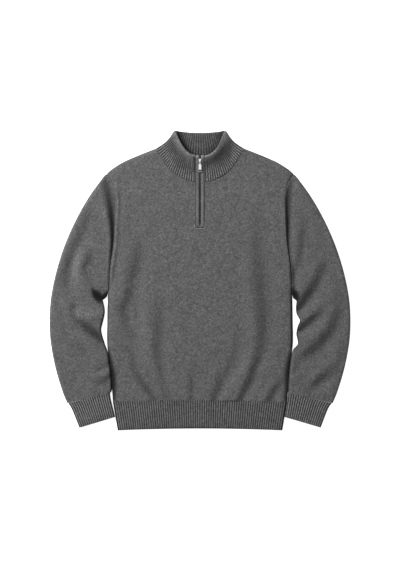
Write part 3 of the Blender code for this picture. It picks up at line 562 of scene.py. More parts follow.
class Graph:
    """Short calls for building one material's nodes."""

    def __init__(self, name: str) -> None:
        """Start a material with a Principled shader.

        Args:
            name: Name of the material.
        """
        self.material = bpy.data.materials.new(name)
        self.material.use_nodes = True
        self.tree = self.material.node_tree
        self.shader = self.tree.nodes["Principled BSDF"]

    def add(self, kind: str, **settings: object) -> bpy.types.Node:
        """Add a node and set its properties.

        Args:
            kind: Blender's name of the node.
            settings: Properties of the node.

        Returns:
            The node.
        """
        node = self.tree.nodes.new(kind)
        for key, value in settings.items():
            setattr(node, key, value)
        return node

    def link(self, source: Socket, target: Socket) -> None:
        """Join an output to an input."""
        self.tree.links.new(source, target)

    def math(self, operation: str, *values: object) -> Socket:
        """Add a Math node.

        Args:
            operation: Name of the operation.
            values: Numbers or sockets, one for each input.

        Returns:
            The node's output.
        """
        node = self.add("ShaderNodeMath", operation=operation)
        for socket, value in zip(node.inputs, values):
            if isinstance(value, (int, float)):
                socket.default_value = value
            else:
                self.link(value, socket)
        return node.outputs[0]

    def noise(self, where: Socket, scale: float, detail: float,
              rough: float = 0.5) -> Socket:
        """Add a Noise texture.

        Args:
            where: Coordinates, in metres.
            scale: How many features fit in a metre.
            detail: Octaves of the noise.
            rough: Weight of the finer octaves.

        Returns:
            The noise, from 0 to 1.
        """
        node = self.add("ShaderNodeTexNoise")
        node.inputs["Scale"].default_value = scale
        node.inputs["Detail"].default_value = detail
        node.inputs["Roughness"].default_value = rough
        self.link(where, node.inputs["Vector"])
        return node.outputs["Fac"]

    def times(self, first: object, second: object) -> Socket:
        """Product of two numbers or sockets."""
        return self.math("MULTIPLY", first, second)

    def swing(self, base: float, noise: Socket) -> Socket:
        """Factor about 1 that swings with a noise, wider for a larger base."""
        return self.math("POWER", base, self.math("SUBTRACT", noise, 0.5))

    def split(self, vector: Socket) -> tuple[Socket, Socket, Socket]:
        """Take a vector apart.

        Args:
            vector: The vector.

        Returns:
            Its three numbers.
        """
        node = self.add("ShaderNodeSeparateXYZ")
        self.link(vector, node.inputs["Vector"])
        return node.outputs["X"], node.outputs["Y"], node.outputs["Z"]

    def place(self) -> Socket:
        """Coordinates on the piece, in metres."""
        return self.add("ShaderNodeTexCoord").outputs["Object"]

    def tint(self, tone: Socket, cast: tuple[float, float, float], least: float | None = None) -> None:
        """Colour the shader by a tone.

        Args:
            tone: Brightness at each place.
            cast: Red, green and blue where the tone is 1.
            least: Darkest value that a channel may take.
        """
        colour = self.add("ShaderNodeCombineColor")
        for channel, weight in zip(("Red", "Green", "Blue"), cast):
            value = self.times(tone, weight)
            if least is not None:
                value = self.math("MAXIMUM", value, least)
            self.link(value, colour.inputs[channel])
        self.link(colour.outputs["Color"], self.shader.inputs["Base Color"])

    def fix(self, **values: float | tuple[float, ...]) -> None:
        """Set constants on the shader's own sockets.

        Args:
            values: Value of each socket, by its name with _ for a space.
        """
        for name, value in values.items():
            self.shader.inputs[name.replace("_", " ")].default_value = value

    def bump(self, height: Socket, distance: float, strength: float,
             under: Socket | None = None) -> Socket:
        """Add a Bump node.

        Args:
            height: Height, from 0 to 1.
            distance: What a height of 1 stands for, in metres.
            strength: Share of the effect.
            under: Normal of a coarser bump.

        Returns:
            The normal.
        """
        node = self.add("ShaderNodeBump")
        node.inputs["Distance"].default_value = distance
        node.inputs["Strength"].default_value = strength
        self.link(height, node.inputs["Height"])
        if under is not None:
            self.link(under, node.inputs["Normal"])
        return node.outputs["Normal"]


@dataclass(frozen=True)
class MelangeKnit:
    """Charcoal melange wool knit: mottled fibres, stitches in bump and a faint nap.

    grey is the yarn's mean albedo. wale and course are the stitch sizes, and stitch_depth and
    nap_depth the bumps, in millimetres. The scales count features in a metre, and the swings say
    how far each noise carries the tone. furrow is what is left of the tone where the painted shade
    is 1: the knit attribute's third number paints shade into rib furrows and creases, and a
    highlight where it is below 0.
    """

    name: str
    grey: float = 0.066
    wale: float = 2.3
    course: float = 1.7
    fleck: float = 6.0
    furrow: float = 1.0
    stitch_depth: float = 0.42
    nap_depth: float = 0.5
    stitch_lean: float = 1.5
    loop_share: float = 0.6
    loop_tone: tuple[float, float] = (0.22, 0.86)
    fibre_scale: float = 1150.0
    fibre_swing: float = 2.6
    fleck_scale: float = 275.0
    cloud_scale: float = 60.0
    cloud_swing: float = 1.5
    nap_scale: float = 900.0
    blue_cast: float = 1.012
    least_grey: float = 0.004

    def stitches(self, graph: Graph, across: Socket, down: Socket) -> Socket:
        """Height of the V-shaped stitches.

        Args:
            graph: Material being built.
            across: Distance across the wales, in metres.
            down: Distance along the wales, in metres.

        Returns:
            The height, from 0 to 1.
        """
        wales = graph.math("DIVIDE", across, self.wale * MM)
        inside = graph.math("FRACT", wales)
        centred = graph.math("ABSOLUTE", graph.math("SUBTRACT", inside, 0.5))
        lean = graph.times(centred, self.stitch_lean)
        courses = graph.math("ADD", graph.math("DIVIDE", down, self.course * MM), lean)
        wave = graph.math("SINE", graph.times(courses, 2.0 * math.pi))
        leg = graph.math("SINE", graph.times(centred, 2.0 * math.pi))
        loop = graph.times(graph.math("MULTIPLY_ADD", wave, 0.5, 0.5), leg)
        return graph.math("ADD", graph.times(loop, self.loop_share),
                          graph.times(leg, 1.0 - self.loop_share))

    def build(self) -> bpy.types.Material:
        """Make the material.

        Returns:
            The material.
        """
        graph = Graph(self.name)
        knit = graph.add("ShaderNodeAttribute", attribute_name="knit")
        across, down, shade = graph.split(knit.outputs["Vector"])
        place = graph.place()
        stitch = self.stitches(graph, across, down)
        fibre = graph.noise(place, self.fibre_scale, 3.0, 0.6)
        tone = graph.swing(self.fleck, graph.noise(place, self.fleck_scale, 1.0))
        tone = graph.times(tone, graph.swing(self.fibre_swing, fibre))
        tone = graph.times(tone, graph.swing(
            self.cloud_swing, graph.noise(place, self.cloud_scale, 2.0)))
        tone = graph.times(tone, graph.math("MULTIPLY_ADD", stitch, *self.loop_tone))
        # Painted shade and highlight: the knit attribute's third number darkens the colour in rib
        # furrows, creases and shadowed lines, and lightens it where it is below 0.
        tone = graph.times(tone, graph.math("POWER", self.furrow, graph.times(shade, 1.0 / MM)))
        graph.tint(tone, (self.grey, self.grey, self.grey * self.blue_cast), self.least_grey)
        nap = graph.bump(graph.noise(place, self.nap_scale, 4.0, 0.65), self.nap_depth * MM, 0.55)
        normal = graph.bump(stitch, self.stitch_depth * MM, 0.6, nap)
        graph.link(normal, graph.shader.inputs["Normal"])
        graph.link(graph.math("MULTIPLY_ADD", fibre, 0.12, 0.84), graph.shader.inputs["Roughness"])
        graph.fix(Specular_IOR_Level=0.12, Sheen_Weight=0.05, Sheen_Roughness=0.45,
                  Sheen_Tint=(0.75, 0.75, 0.77, 1.0))
        return graph.material


@dataclass(frozen=True)
class WovenTape:
    """Dark herringbone tape of the zip, with yarns of a width in millimetres."""

    name: str = "woven_zip_tape"
    grey: float = 0.018
    yarn: float = 0.55
    chevron: float = 4.0
    pace: float = 3.1
    weave_depth: float = 0.2

    def build(self) -> bpy.types.Material:
        """Make the material.

        Returns:
            The material.
        """
        graph = Graph(self.name)
        place = graph.place()
        x, y, _ = graph.split(place)
        across = graph.math("DIVIDE", x, self.yarn * MM)
        down = graph.math("DIVIDE", y, self.yarn * MM)
        chevron = graph.math("PINGPONG", across, self.chevron)
        weave = graph.math("SINE", graph.times(graph.math("ADD", down, chevron), self.pace))
        high = graph.math("MULTIPLY_ADD", weave, 0.5, 0.5)
        lint = graph.noise(place, 900.0, 3.0)
        tone = graph.times(graph.math("MULTIPLY_ADD", high, 0.5, 0.7),
                           graph.math("MULTIPLY_ADD", lint, 0.5, 0.75))
        graph.tint(tone, (self.grey, self.grey, self.grey))
        graph.link(graph.bump(high, self.weave_depth * MM, 0.7), graph.shader.inputs["Normal"])
        graph.link(graph.math("MULTIPLY_ADD", lint, 0.15, 0.72), graph.shader.inputs["Roughness"])
        graph.fix(Sheen_Weight=0.15)
        return graph.material


@dataclass(frozen=True)
class Metal:
    """Metal with fine scratches and a slight unevenness of its polish."""

    name: str
    grey: float
    rough: float
    scratch: float = 0.03
    scratch_scale: float = 700.0
    scratch_stretch: tuple[float, float, float] = (9.0, 0.6, 4.0)
    smudge_scale: float = 260.0
    smudge_rough: float = 0.14
    cast: tuple[float, float, float] = (1.0, 0.995, 0.985)

    def smudge(self, graph: Graph, place: Socket) -> Socket:
        """Noise of the polish, uneven from handling."""
        return graph.noise(place, self.smudge_scale, 2.0)

    def polish_and_painted_shade(self, graph: Graph, place: Socket) -> Socket:
        """How bright the polish is at each place."""
        return graph.math("MULTIPLY_ADD", self.smudge(graph, place), 0.16, 0.92)

    def build(self) -> bpy.types.Material:
        """Make the material.

        Returns:
            The material.
        """
        graph = Graph(self.name)
        place = graph.place()
        stretch = graph.add("ShaderNodeMapping")
        stretch.inputs["Scale"].default_value = self.scratch_stretch
        graph.link(place, stretch.inputs["Vector"])
        lines = graph.noise(stretch.outputs["Vector"], self.scratch_scale, 3.0, 0.6)
        graph.tint(self.polish_and_painted_shade(graph, place), tuple(self.grey * weight for weight in self.cast))
        graph.link(graph.math("MULTIPLY_ADD", self.smudge(graph, place), self.smudge_rough,
                              self.rough - self.smudge_rough / 2.0), graph.shader.inputs["Roughness"])
        graph.link(graph.bump(lines, self.scratch * MM, 0.35), graph.shader.inputs["Normal"])
        graph.fix(Metallic=1.0)
        return graph.material


@dataclass(frozen=True)
class PullMetal(Metal):
    """Polished face of the pull tab, its flanks, neck and lip dimmed with painted shade and its
    recess darkened with a painted shadow.

    face_half is half the width of the polished face, face runs from the lip to the neck, and soft
    is the width of its soft edges, in millimetres. The other three factors are what is left of the
    brightness: painted shade on the flanks and lip and on the neck, and a painted shadow in the recess.
    """

    face_half: float = 2.8
    face: tuple[float, float] = (276.6, 289.0)
    recess: tuple[float, float] = (273.6, 276.4)
    soft: float = 0.4
    neck_soft: float = 1.5
    flank_shade: float = 0.3
    neck: float = 0.5
    dark: float = 0.06

    def step(self, graph: Graph, value: Socket, start: float, end: float) -> Socket:
        """Add a smooth step.

        Args:
            graph: Material being built.
            value: Coordinate, in metres.
            start: Where the step is 0, in millimetres.
            end: Where it is 1.

        Returns:
            The step, from 0 to 1.
        """
        node = graph.add("ShaderNodeMapRange", interpolation_type="SMOOTHSTEP")
        node.inputs["From Min"].default_value = start * MM
        node.inputs["From Max"].default_value = end * MM
        graph.link(value, node.inputs["Value"])
        return node.outputs["Result"]

    def dim(self, graph: Graph, tone: Socket, where: Socket, left: float) -> Socket:
        """Darken a tone to what is left of it where a mask is 1."""
        return graph.times(tone, graph.math("MULTIPLY_ADD", where, left - 1.0, 1.0))

    def polish_and_painted_shade(self, graph: Graph, place: Socket) -> Socket:
        """How bright the polish is at each place of the tab, with its painted shade and shadow.

        Args:
            graph: Material being built.
            place: Coordinates, in metres.

        Returns:
            The brightness, about 1 on the polished face.
        """
        x, y, _ = graph.split(place)
        low, high = self.recess
        lip, neck = self.face
        flank = self.step(graph, graph.math("ABSOLUTE", x), self.face_half - self.soft,
                          self.face_half + self.soft)
        below = graph.math("SUBTRACT", 1.0, self.step(graph, y, lip - 2.0 * self.soft, lip))
        recess = graph.times(
            self.step(graph, y, low - self.soft, low),
            graph.math("SUBTRACT", 1.0, self.step(graph, y, high, high + self.soft)))
        recess = graph.times(recess, graph.math("SUBTRACT", 1.0, flank))
        # Painted shade on the flanks, lip and neck, and a painted shadow in the slot's recess, in place
        # of their slopes and depth.
        tone = self.dim(graph, super().polish_and_painted_shade(graph, place), graph.math("MAXIMUM", flank, below),
                        self.flank_shade)
        tone = self.dim(graph, tone, self.step(graph, y, neck, neck + self.neck_soft), self.neck)
        return self.dim(graph, tone, recess, self.dark)


@dataclass(frozen=True)
class PaleFloor:
    """Plain matt white floor, softly lit from below, with a trace of unevenness."""

    name: str = "pale_floor"
    grey: float = 0.60
    uneven: float = 0.01
    glow: float = 0.80

    def build(self) -> bpy.types.Material:
        """Make the material.

        Returns:
            The material.
        """
        graph = Graph(self.name)
        tone = graph.math("MULTIPLY_ADD", graph.noise(graph.place(), 3.0, 2.0), self.uneven, self.grey)
        graph.tint(tone, (1.0, 1.0, 1.0))
        graph.fix(Roughness=0.95, Specular_IOR_Level=0.0, Emission_Color=(1.0, 1.0, 1.0, 1.0),
                  Emission_Strength=self.glow)
        return graph.material


PLAIN_KNIT = MelangeKnit("plain_knit", grey=0.0685, furrow=0.2)
RIB_KNIT = MelangeKnit("rib_knit", grey=0.095, fleck=5.0, furrow=0.16)
STRIP_KNIT = MelangeKnit("strip_knit", grey=0.070, wale=1.9, course=1.5, fleck=3.5, furrow=0.3)
WELT_YARN = MelangeKnit("welt_yarn", grey=0.145, fleck=3.0)
DARK_TEETH = Metal("dark_teeth", 0.065, 0.42)
WORN_NICKEL = Metal("worn_nickel", 0.62, 0.42)
POLISHED_PULL = PullMetal("polished_metal", 0.90, 0.50)
ZIP_TAPE = WovenTape()


def dress(piece: Piece, material: bpy.types.Material,
          body: str = BODY) -> Piece:
    """Give a piece its finish and the body that it rides on.

    Args:
        piece: The piece.
        material: Its finish.
        body: Name of the body.

    Returns:
        The piece.
    """
    piece.data.materials.clear()
    piece.data.materials.append(material)
    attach(piece, body)
    return piece


def rib_crest(phase: Array) -> Array:
    """Share of the rib height, 0 in the narrow furrows, with one rib for each whole number."""
    return np.abs(np.cos(math.pi * phase)) ** 0.8


def rib_rows(middle_rows: int, near_end: float) -> Array:
    """Rows down a rib band, closer together at both of its ends."""
    return np.concatenate([
        [0.0, 0.012, 0.03, 0.06], np.linspace(0.1, 0.93, middle_rows), [0.96, 0.98, near_end, 1.0]])


@dataclass(frozen=True)
class BandRelief:
    """Height of a rib band from its seam down to its end, without the ribs.

    The band is a little raised at its seam, turns down at its end and bulges between them. The
    reaches are shares of its depth, and proud is how far the ribs stand out, in millimetres.
    """

    height: float
    seam_rise: float
    end_drop: float
    swell: Swell
    seam_reach: float = 0.06
    end_reach: float = 0.03
    bulge: float = 0.5
    proud: float = 1.25

    def at(self, down: Array, x: Array, y: Array) -> Array:
        """Height of the band.

        Args:
            down: Share of the way from the seam to the end.
            x: Distance across.
            y: Distance along.

        Returns:
            The height at each point.
        """
        ends = self.seam_rise * bell(down, self.seam_reach)
        ends = ends - self.end_drop * bell(1.0 - down, self.end_reach)
        return self.height + ends + self.bulge * np.sin(math.pi * down) + self.swell.at(x, y)


# ---- body ----


@dataclass
class BodyPanels:
    """Front and back of the body, the front with the slot for the zip.

    The columns are those on each side of the slot, and the rows those above its foot and below it.
    A ridge beside the armhole seam is higher on the wearer's right and fades out at both its ends.
    """

    front_columns: int = 68
    front_rows: tuple[int, int] = (58, 136)
    back_columns: int = 34
    back_rows: tuple[int, int] = (20, 46)
    crowding: float = 0.9
    side_rounding: float = 15.0
    back_rounding: float = 7.0
    shoulder_slope: float = 0.9
    shoulder_lap: float = 0.12
    spare: float = 0.7
    ridge: dict[Side, float] = field(default_factory=lambda: {Side.RIGHT: 3.9, Side.LEFT: 1.2})
    ridge_place: float = 6.0
    ridge_width: float = 4.2
    ridge_start: tuple[float, float] = (10.0, 40.0)
    ridge_end: tuple[float, float] = (18.0, 30.0)
    seam_dip: float = 0.2
    seam_width: float = 1.5
    hem_dip: float = 0.1
    hem_width: float = 3.0
    swells: tuple[Swell, ...] = (Swell(0.35, 74.0, 0.7), Swell(0.16, 31.0, 2.1))
    # Each crease's last number is painted shade darkening the knit along it: in valleys, and along the
    # body's sides where the sleeves cast shadow on it.
    folds: CreaseField = CreaseField((
        fold((0.5, 2.5, 3.4, 3.2, 3.2, 3.2), (16, 19, 19, 17, 12, 9.5), ((140, 140), (141, 100),
            (142, 63), (145, 20), (150, -28), (154.5, -80), (154.7, -124), (152, -160), (146, -187),
            (134, -215), (124, -245), (112, -269), (97, -299)), 0.12),
        fold((0, -2, -2.4), (10, 12, 11), ((112, -170), (103, -216), (84, -246), (64, -276), (48, -302))),
        fold((0, 2.2, 2.4), (11, 10, 9), ((208, -225), (197, -255), (183, -275), (168, -301)), 0.15),
        fold((0, 1.2, 1.3), (12, 12, 11), ((62, -200), (53, -232), (46, -256), (34, -301)), 0.08),
        fold((0, 1.2, 1.2), (11, 10, 9), ((-19, -195), (-22, -245), (-24, -301)), 0.08),
        fold((0, 0.9, 0), (14, 14, 14), ((-40, -70), (-37, -100), (-36, -140))),
        fold((0, 2.4, 3.4, 3, 0), (15, 18, 18, 17, 15), ((-150, 128), (-156, 79), (-164, 38), (-172, 5),
            (-178, -31), (-190, -62), (-208, -100)), 0.1),
        fold((0, 1.9, 1.8, 0.9, 0), (15, 17, 17, 16, 14), ((-188, -40), (-190, -76), (-187, -114),
            (-181, -156), (-172, -200)), 0.06),
        fold((0, 2, 2.3, 2, 1.2), (12, 14, 13, 12, 11), ((-102, -20), (-103, -76), (-106, -130),
            (-108, -165), (-103, -211), (-94, -255), (-84, -301)), 0.06),
        roll((0, -1.8, -2.6, -2.6), (10, 10, 8, 7), ((-172, -176), (-167, -215), (-148, -250),
            (-127, -278), (-110, -301)), 0.28),
        fold((0, -1.9, -1.9, 0), (14, 14, 14, 14), ((-146, 10), (-148, -60), (-145, -120), (-134, -240))),
        fold((0, 1.1, 1), (12, 12, 11), ((88, -60), (92, -130), (80, -190), (74, -206))),
        roll((0, 1.6, 1.6, 0), (16, 16, 16, 14), ((-192, 226), (-190, 180), (-194, 120), (-204, 40))),
        roll((0, 1.5, 1.5, 0), (16, 16, 16, 14), ((193, 226), (190, 180), (194, 120), (200, 60))),
        roll((0, -0.9, 0), (16, 16, 16), ((-58, 236), (-40, 226), (-18, 220))),
        roll((0, -0.9, 0), (16, 16, 16), ((56, 240), (38, 228), (18, 222))),
        roll((-1, -2.4, -2.6, -2.2, -1.6), (5, 7, 8.5, 8, 6), ((-232, -168), (-228, -200), (-222, -232),
            (-219, -262), (-217.5, -296)), 1.9),
        roll((-0.8, -2, -2.2, -1.8, -1.6), (4.5, 6.5, 7.5, 7, 6), ((232, -166), (226, -196),
            (221.5, -226), (219, -258), (216.5, -298)), 1.1),
        roll((-0.2, -0.4, -0.4, -0.4), (3.5, 3.5, 3.5, 4.5), ((229, -22), (230.5, -60), (231.5, -110),
            (232, -164)), 1.7),
        roll((-0.2, -0.3, -0.3, -0.3), (2.2, 2.4, 2.4, 2.4), ((-230, -34), (-231, -70), (-231.8, -110),
            (-232.4, -166)), 1),
        roll((1.2, 1.2, 1.2, 1.2), (8, 8, 8, 8), ((13, 244), (40, 251), (70, 268), (92, 295),
            (112, 328))),
        roll((1.2, 1.2, 1.2, 1.2), (8, 8, 8, 8), ((-13, 244), (-40, 251), (-70, 268), (-92, 295),
            (-112, 328))),
    ))

    def top(self, x: Array, y: Array) -> Array:
        """Height of the front's upper face.

        Args:
            x: Distance across.
            y: Distance along.

        Returns:
            The height at each point.
        """
        away = np.abs(x)
        side = BODY_SIDE.at(y) - away
        edge = np.where(x < 0.0, ARMHOLE_HEIGHT[Side.RIGHT].at(y), ARMHOLE_HEIGHT[Side.LEFT].at(y))
        to_shoulder = (SHOULDER_LINE.at(away) - y) * self.shoulder_slope
        shoulder = np.where(away > NECK_POINT_X, to_shoulder, FAR)
        edge = np.where(shoulder < side, SIDE_SEAM_HEIGHT, edge)
        full = BODY_HEIGHT + self.folds.at(x, y) + sum(swell.at(x, y) for swell in self.swells)
        full = np.maximum(full, 2 * JERSEY_WALL + self.spare)
        height = mix(edge, full, quarter_round(np.minimum(side, shoulder), self.side_rounding))
        armhole = ease((y - ARMPIT_Y - self.ridge_start[0]) / self.ridge_start[1])
        armhole = armhole * ease((SHOULDER_TIP[1] - self.ridge_end[0] - y) / self.ridge_end[1])
        ridge = np.where(x < 0.0, self.ridge[Side.RIGHT], self.ridge[Side.LEFT])
        ridge = ridge * bell(side - self.ridge_place, self.ridge_width)
        seam = self.seam_dip * bell(side, self.seam_width)
        return height + armhole * (ridge - seam) - self.hem_dip * bell(y - HEM_SEAM_SIDE, self.hem_width)

    def plan(self, neck: Curve, columns: int, rows: tuple[int, int]) -> tuple[Array, Array]:
        """Plan grid of a panel, from the shoulder down to the hem.

        Args:
            neck: Neck seam of the panel.
            columns: Columns on each side of the slot.
            rows: Rows above the slot's foot and below it.

        Returns:
            The x and the y of each row and column.
        """
        upper, lower = rows
        share = np.linspace(0.0, 1.0, columns) ** self.crowding
        sign = np.concatenate([-np.ones(columns), [0.0], np.ones(columns)])
        share = np.concatenate([share[::-1], [0.0], share])
        across = np.where(sign == 0.0, 0.0, mix(SLOT_HALF, SHOULDER_TIP[0], share))
        clamped = np.maximum(across, neck.rows[0][0])
        top = np.where(clamped <= NECK_POINT_X, neck.at(clamped), SHOULDER_LINE.at(clamped))
        top = top - self.shoulder_lap
        risen = np.linspace(1.0, 0.0, upper, endpoint=False)
        y_upper = mix(SLOT_FOOT, top[None, :], risen[:, None])
        foot = mix(HEM_SEAM_MIDDLE, HEM_SEAM_SIDE, share ** 2)
        fallen = np.linspace(0.0, 1.0, lower)
        y_lower = mix(SLOT_FOOT, foot[None, :], fallen[:, None])
        y = np.concatenate([y_upper, y_lower])
        x = sign * mix(SLOT_HALF, BODY_SIDE.at(y) + SEAM_LAP, share)
        return x, y

    def build_front(self) -> Piece:
        """Make the front panel, open where the zip's slot is.

        Returns:
            The panel.
        """
        x, y = self.plan(NECK_FRONT, self.front_columns, self.front_rows)
        top = self.top(x, y)
        under = np.maximum(JERSEY_WALL + GAP, top - JERSEY_WALL)
        cloth = np.ones((x.shape[0] - 1, x.shape[1] - 1), dtype=bool)
        cloth[:self.front_rows[0], self.front_columns - 1:self.front_columns + 1] = False
        # Painted shade of the creases.
        shade = self.folds.painted_shade_at(x, y)
        return Wall("front_knit", grid(x, y, top), grid(x, y, under), grid(x, y, shade), cloth).build()

    def build_back(self) -> Piece:
        """Make the back panel, flat on the floor.

        Returns:
            The panel.
        """
        x, y = self.plan(NECK_BACK, self.back_columns, self.back_rows)
        away = np.abs(x)
        side = BODY_SIDE.at(y) - away
        side = np.where(away > NECK_POINT_X, np.minimum(side, SHOULDER_LINE.at(away) - y), side)
        lift = SELVEDGE_RISE * (1.0 - quarter_round(side, self.back_rounding))
        return Wall("back_knit", grid(x, y, JERSEY_WALL), grid(x, y, lift), grid(x, y, 0.0)).build()

    def build(self) -> list[Piece]:
        """Build and dress both panels.

        Returns:
            The pieces.
        """
        knit = PLAIN_KNIT.build()
        front = dress(self.build_front(), knit)
        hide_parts("front_panel")
        back = dress(self.build_back(), knit)
        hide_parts("back_panel")
        return [front, back]


# ---- sleeves and cuffs ----

SLEEVE_OUTER = Curve(((-306, 331.5), (-293, 337.5), (-279, 343), (-234, 357), (-189, 367.5),
    (-144, 374.2), (-99, 376), (-54, 373.6), (-9, 366.4), (36, 355.3), (81, 340.8), (126, 322.3),
    (171, 299.9), (201, 282.4), (224, 267.3), (246, 251), (261, 239.6), (266, 234.2)))
SLEEVE_INNER = {
    Side.RIGHT: Curve(((-281, 224.6), (-277, 220.6), (-262, 220), (-244, 221.2), (-221, 223.4),
        (-199, 225.9), (-182, 228.9), (-170, 233), (-157, 238), (-125, 246.5), (-108, 243.5),
        (-92, 239.5), (-74.5, 237.6), (-57, 241), (-50.5, 245), (-47.5, 241), (-44, 236.2), (-40, 232.4),
        (-34, 230.6), (-26, 229.8))),
    Side.LEFT: Curve(((-281, 219), (-262, 219.9), (-236, 221.9), (-199, 225.9), (-182, 228.9),
        (-171, 234), (-158, 244), (-133, 240.5), (-114, 244), (-100, 249), (-84, 241.5), (-69, 239.5),
        (-56, 240.5), (-51, 240.6), (-47.5, 237), (-43.5, 232.4), (-36, 230.4), (-26, 229.6))),
}
LAST_RING = 24.0
RING_OUTER_Y = Curve(((0, 266), (1, 258), (2, 241), (3, 221), (4, 199), (5, 174), (7, 119), (10, 36),
    (13, -41), (16, -116), (19, -191), (22, -259), (24, -306.5)))
RING_INNER_Y = Curve(((0, -26), (1, -31), (2, -38), (3, -44), (4, -48.5), (5, -55), (7, -74), (10, -105),
    (13, -139), (16, -172.5), (19, -214), (22, -255), (24, -281.35)))
# Each crease's last number is painted shade along it (the valley beside the armhole, the armpit, troughs
# and the edges beside the body), or a painted highlight on a ridge where it is below 0.
SLEEVE_FOLDS = {
    Side.RIGHT: CreaseField((
        fold((0.6, 2.6, 3.4, 2.9, 1.1, 0.15), (12, 10, 8, 6, 3.8, 2.6), ((-241, 256), (-234, 226),
            (-228, 201), (-224, 176), (-221, 151), (-218.5, 126), (-218.5, 101), (-221, 76), (-224, 51),
            (-227, 26), (-230, 0), (-232, -22)), 0.75),
        fold((0, 1.1, 1.7, 2.2, 1.5, 0), (13, 13, 13, 12, 12, 12), ((-262, 208), (-276, 178), (-289, 143),
            (-300, 115), (-311, 87), (-321, 60), (-330, 35), (-337, 8), (-338, -30)), 0.14),
        fold((0, -2, -2.5, -2, 0), (12, 13, 13, 13, 12), ((-298, 100), (-306, 70), (-312, 40), (-314, 14),
            (-308, -8), (-292, -28)), -0.12),
        fold((0, 1.5, 1.9, 1.2, 0), (10, 10, 10, 10, 10), ((-266, 84), (-278, 56), (-289, 34), (-281, 14),
            (-262, -2)), 0.12),
        roll((-2, -6, -7, -6, -4.5), (4, 7.5, 9, 8, 5), ((-268, -23), (-260, -34), (-248, -45),
            (-239, -43), (-231, -33)), 2.2),
        roll((0, 2.2, 0), (12, 12, 10), ((-262, 6), (-250, -12), (-238, -22))),
        fold((0, 1.9, 1.9, 0), (10, 10, 10, 9), ((-324, -46), (-320, -70), (-316, -94), (-304, -114)),
            0.1),
        roll((0, 3.2, 3.6, 3), (12, 14, 14, 10), ((-318, -78), (-296, -84), (-272, -86), (-248, -86)),
            -0.12),
        roll((0, -4.4, -6, -6), (8, 9, 10, 9), ((-310, -100), (-290, -112), (-268, -130), (-246, -147)),
            0.62),
        roll((0, 2.2, 2.2, 0), (12, 12, 12, 12), ((-304, -134), (-282, -148), (-258, -162),
            (-244, -172))),
        fold((0, 1.5, 1.5, 0), (11, 11, 11, 11), ((-352, -70), (-346, -102), (-334, -132), (-318, -156))),
        roll((0, -1.8, -1.8, 0), (11, 11, 11, 10), ((-322, -148), (-300, -168), (-280, -188),
            (-264, -202)), 0.1),
        roll((-3, -2, 0), (7, 8, 9), ((-228, -212), (-246, -222), (-270, -230)), 0.2),
        roll((2, 2, 0), (8, 9, 10), ((-226, -230), (-252, -238), (-282, -240))),
        roll((-2.8, -2.4, 0), (7, 8, 9), ((-226, -244), (-244, -258), (-270, -266)), 0.2),
        fold((0, 1.4, 1.4, 0), (11, 11, 11, 11), ((-348, -196), (-338, -226), (-322, -252),
            (-300, -270))),
        roll((0, 1.8, 0), (9, 9, 9), ((-286, -262), (-266, -274), (-244, -277))),
        roll((-0.2, -0.6, -0.6, -0.6, -0.5), (2.2, 3.2, 3, 3, 2.4), ((-231, -172), (-226.5, -194),
            (-223, -221), (-220.6, -246), (-219.5, -276)), 1.9),
        roll((-0.3, -0.3, -0.3, -0.3), (2.6, 2.6, 2.6, 2.6), ((-241, -57), (-237.8, -76), (-240, -94),
            (-246, -112), (-246, -128), (-238.5, -156), (-232, -172)), 1.2),
    )),
    Side.LEFT: CreaseField((
        fold((0, 1.3, 1.6, 1.4, 0.6), (11, 11, 11, 9, 7), ((262, 176), (255, 126), (249, 76), (244, 44),
            (234, 18)), 0.08),
        fold((0, 2.4, 3.8, 4.8, 4.2), (11, 13, 14, 13, 10), ((314, 62), (306, 38), (297, 16), (287, -5),
            (274, -25), (262, -42), (250, -60), (244, -68)), 0.22),
        fold((0, 2.6, 3.8, 3.6), (10, 11, 11, 9), ((308, -66), (298, -78), (286, -90), (273, -100),
            (259, -111), (248, -120)), 0.28),
        fold((0, 1.8, 3, 3.8, 3.2, 0.5), (14, 14, 15, 15, 14, 9), ((345, -30), (344, -62), (340, -84),
            (333, -105), (322, -126), (308, -144), (293, -160), (276, -175), (258, -189), (242, -201)),
            0.22),
        fold((0, 2.2, 2.8, 0.4), (11, 12, 11, 8), ((338, -216), (318, -229), (302, -243), (286, -257),
            (272, -271)), 0.18),
        fold((0, 1.3, 0.8), (8, 8, 7), ((252, -206), (240, -218), (230, -227)), 0.05),
        roll((-3, -6.5, -5), (4, 7.5, 6), ((231, -23), (236.5, -34), (242, -44)), 2.3),
        fold((0.1, 0.7, 1, 1.2, 1.1, 0.6, 0.5, 0.8, 0.8), (8, 8, 7.5, 7, 6, 4.5, 4, 5, 4.5), ((232, 252),
            (223, 226), (220, 201), (218.5, 176), (218, 151), (218.5, 126), (220, 101), (222.5, 76),
            (226, 51), (229.5, 26), (232, 1), (232, -18)), 0.9),
        roll((0, 1.8, 0), (9, 10, 9), ((266, 24), (248, -6), (240, -22))),
        roll((-0.2, -0.5, -0.5, -0.4), (1.8, 2.2, 2.2, 2), ((231, -172), (226.5, -194), (222, -233),
            (220, -276)), 1.2),
        roll((-0.3, -0.3, -0.3, -0.3), (2.4, 2.4, 2.4, 2.4), ((240.5, -54), (239.8, -70), (242, -85),
            (248.5, -100), (244, -114), (240.8, -133), (243.5, -156), (234, -171)), 1.1),
        roll((0, 1.2, 1.2, 0), (14, 14, 14, 14), ((342, 6), (330, -34), (306, -56), (284, -70))),
        fold((0, 1.4, 1.4, 0), (11, 11, 11, 11), ((354, -150), (350, -184), (340, -214), (326, -246))),
        fold((0, 1.3, 1.3, 0), (13, 13, 13, 13), ((268, 214), (282, 172), (296, 130), (306, 90))),
    )),
}


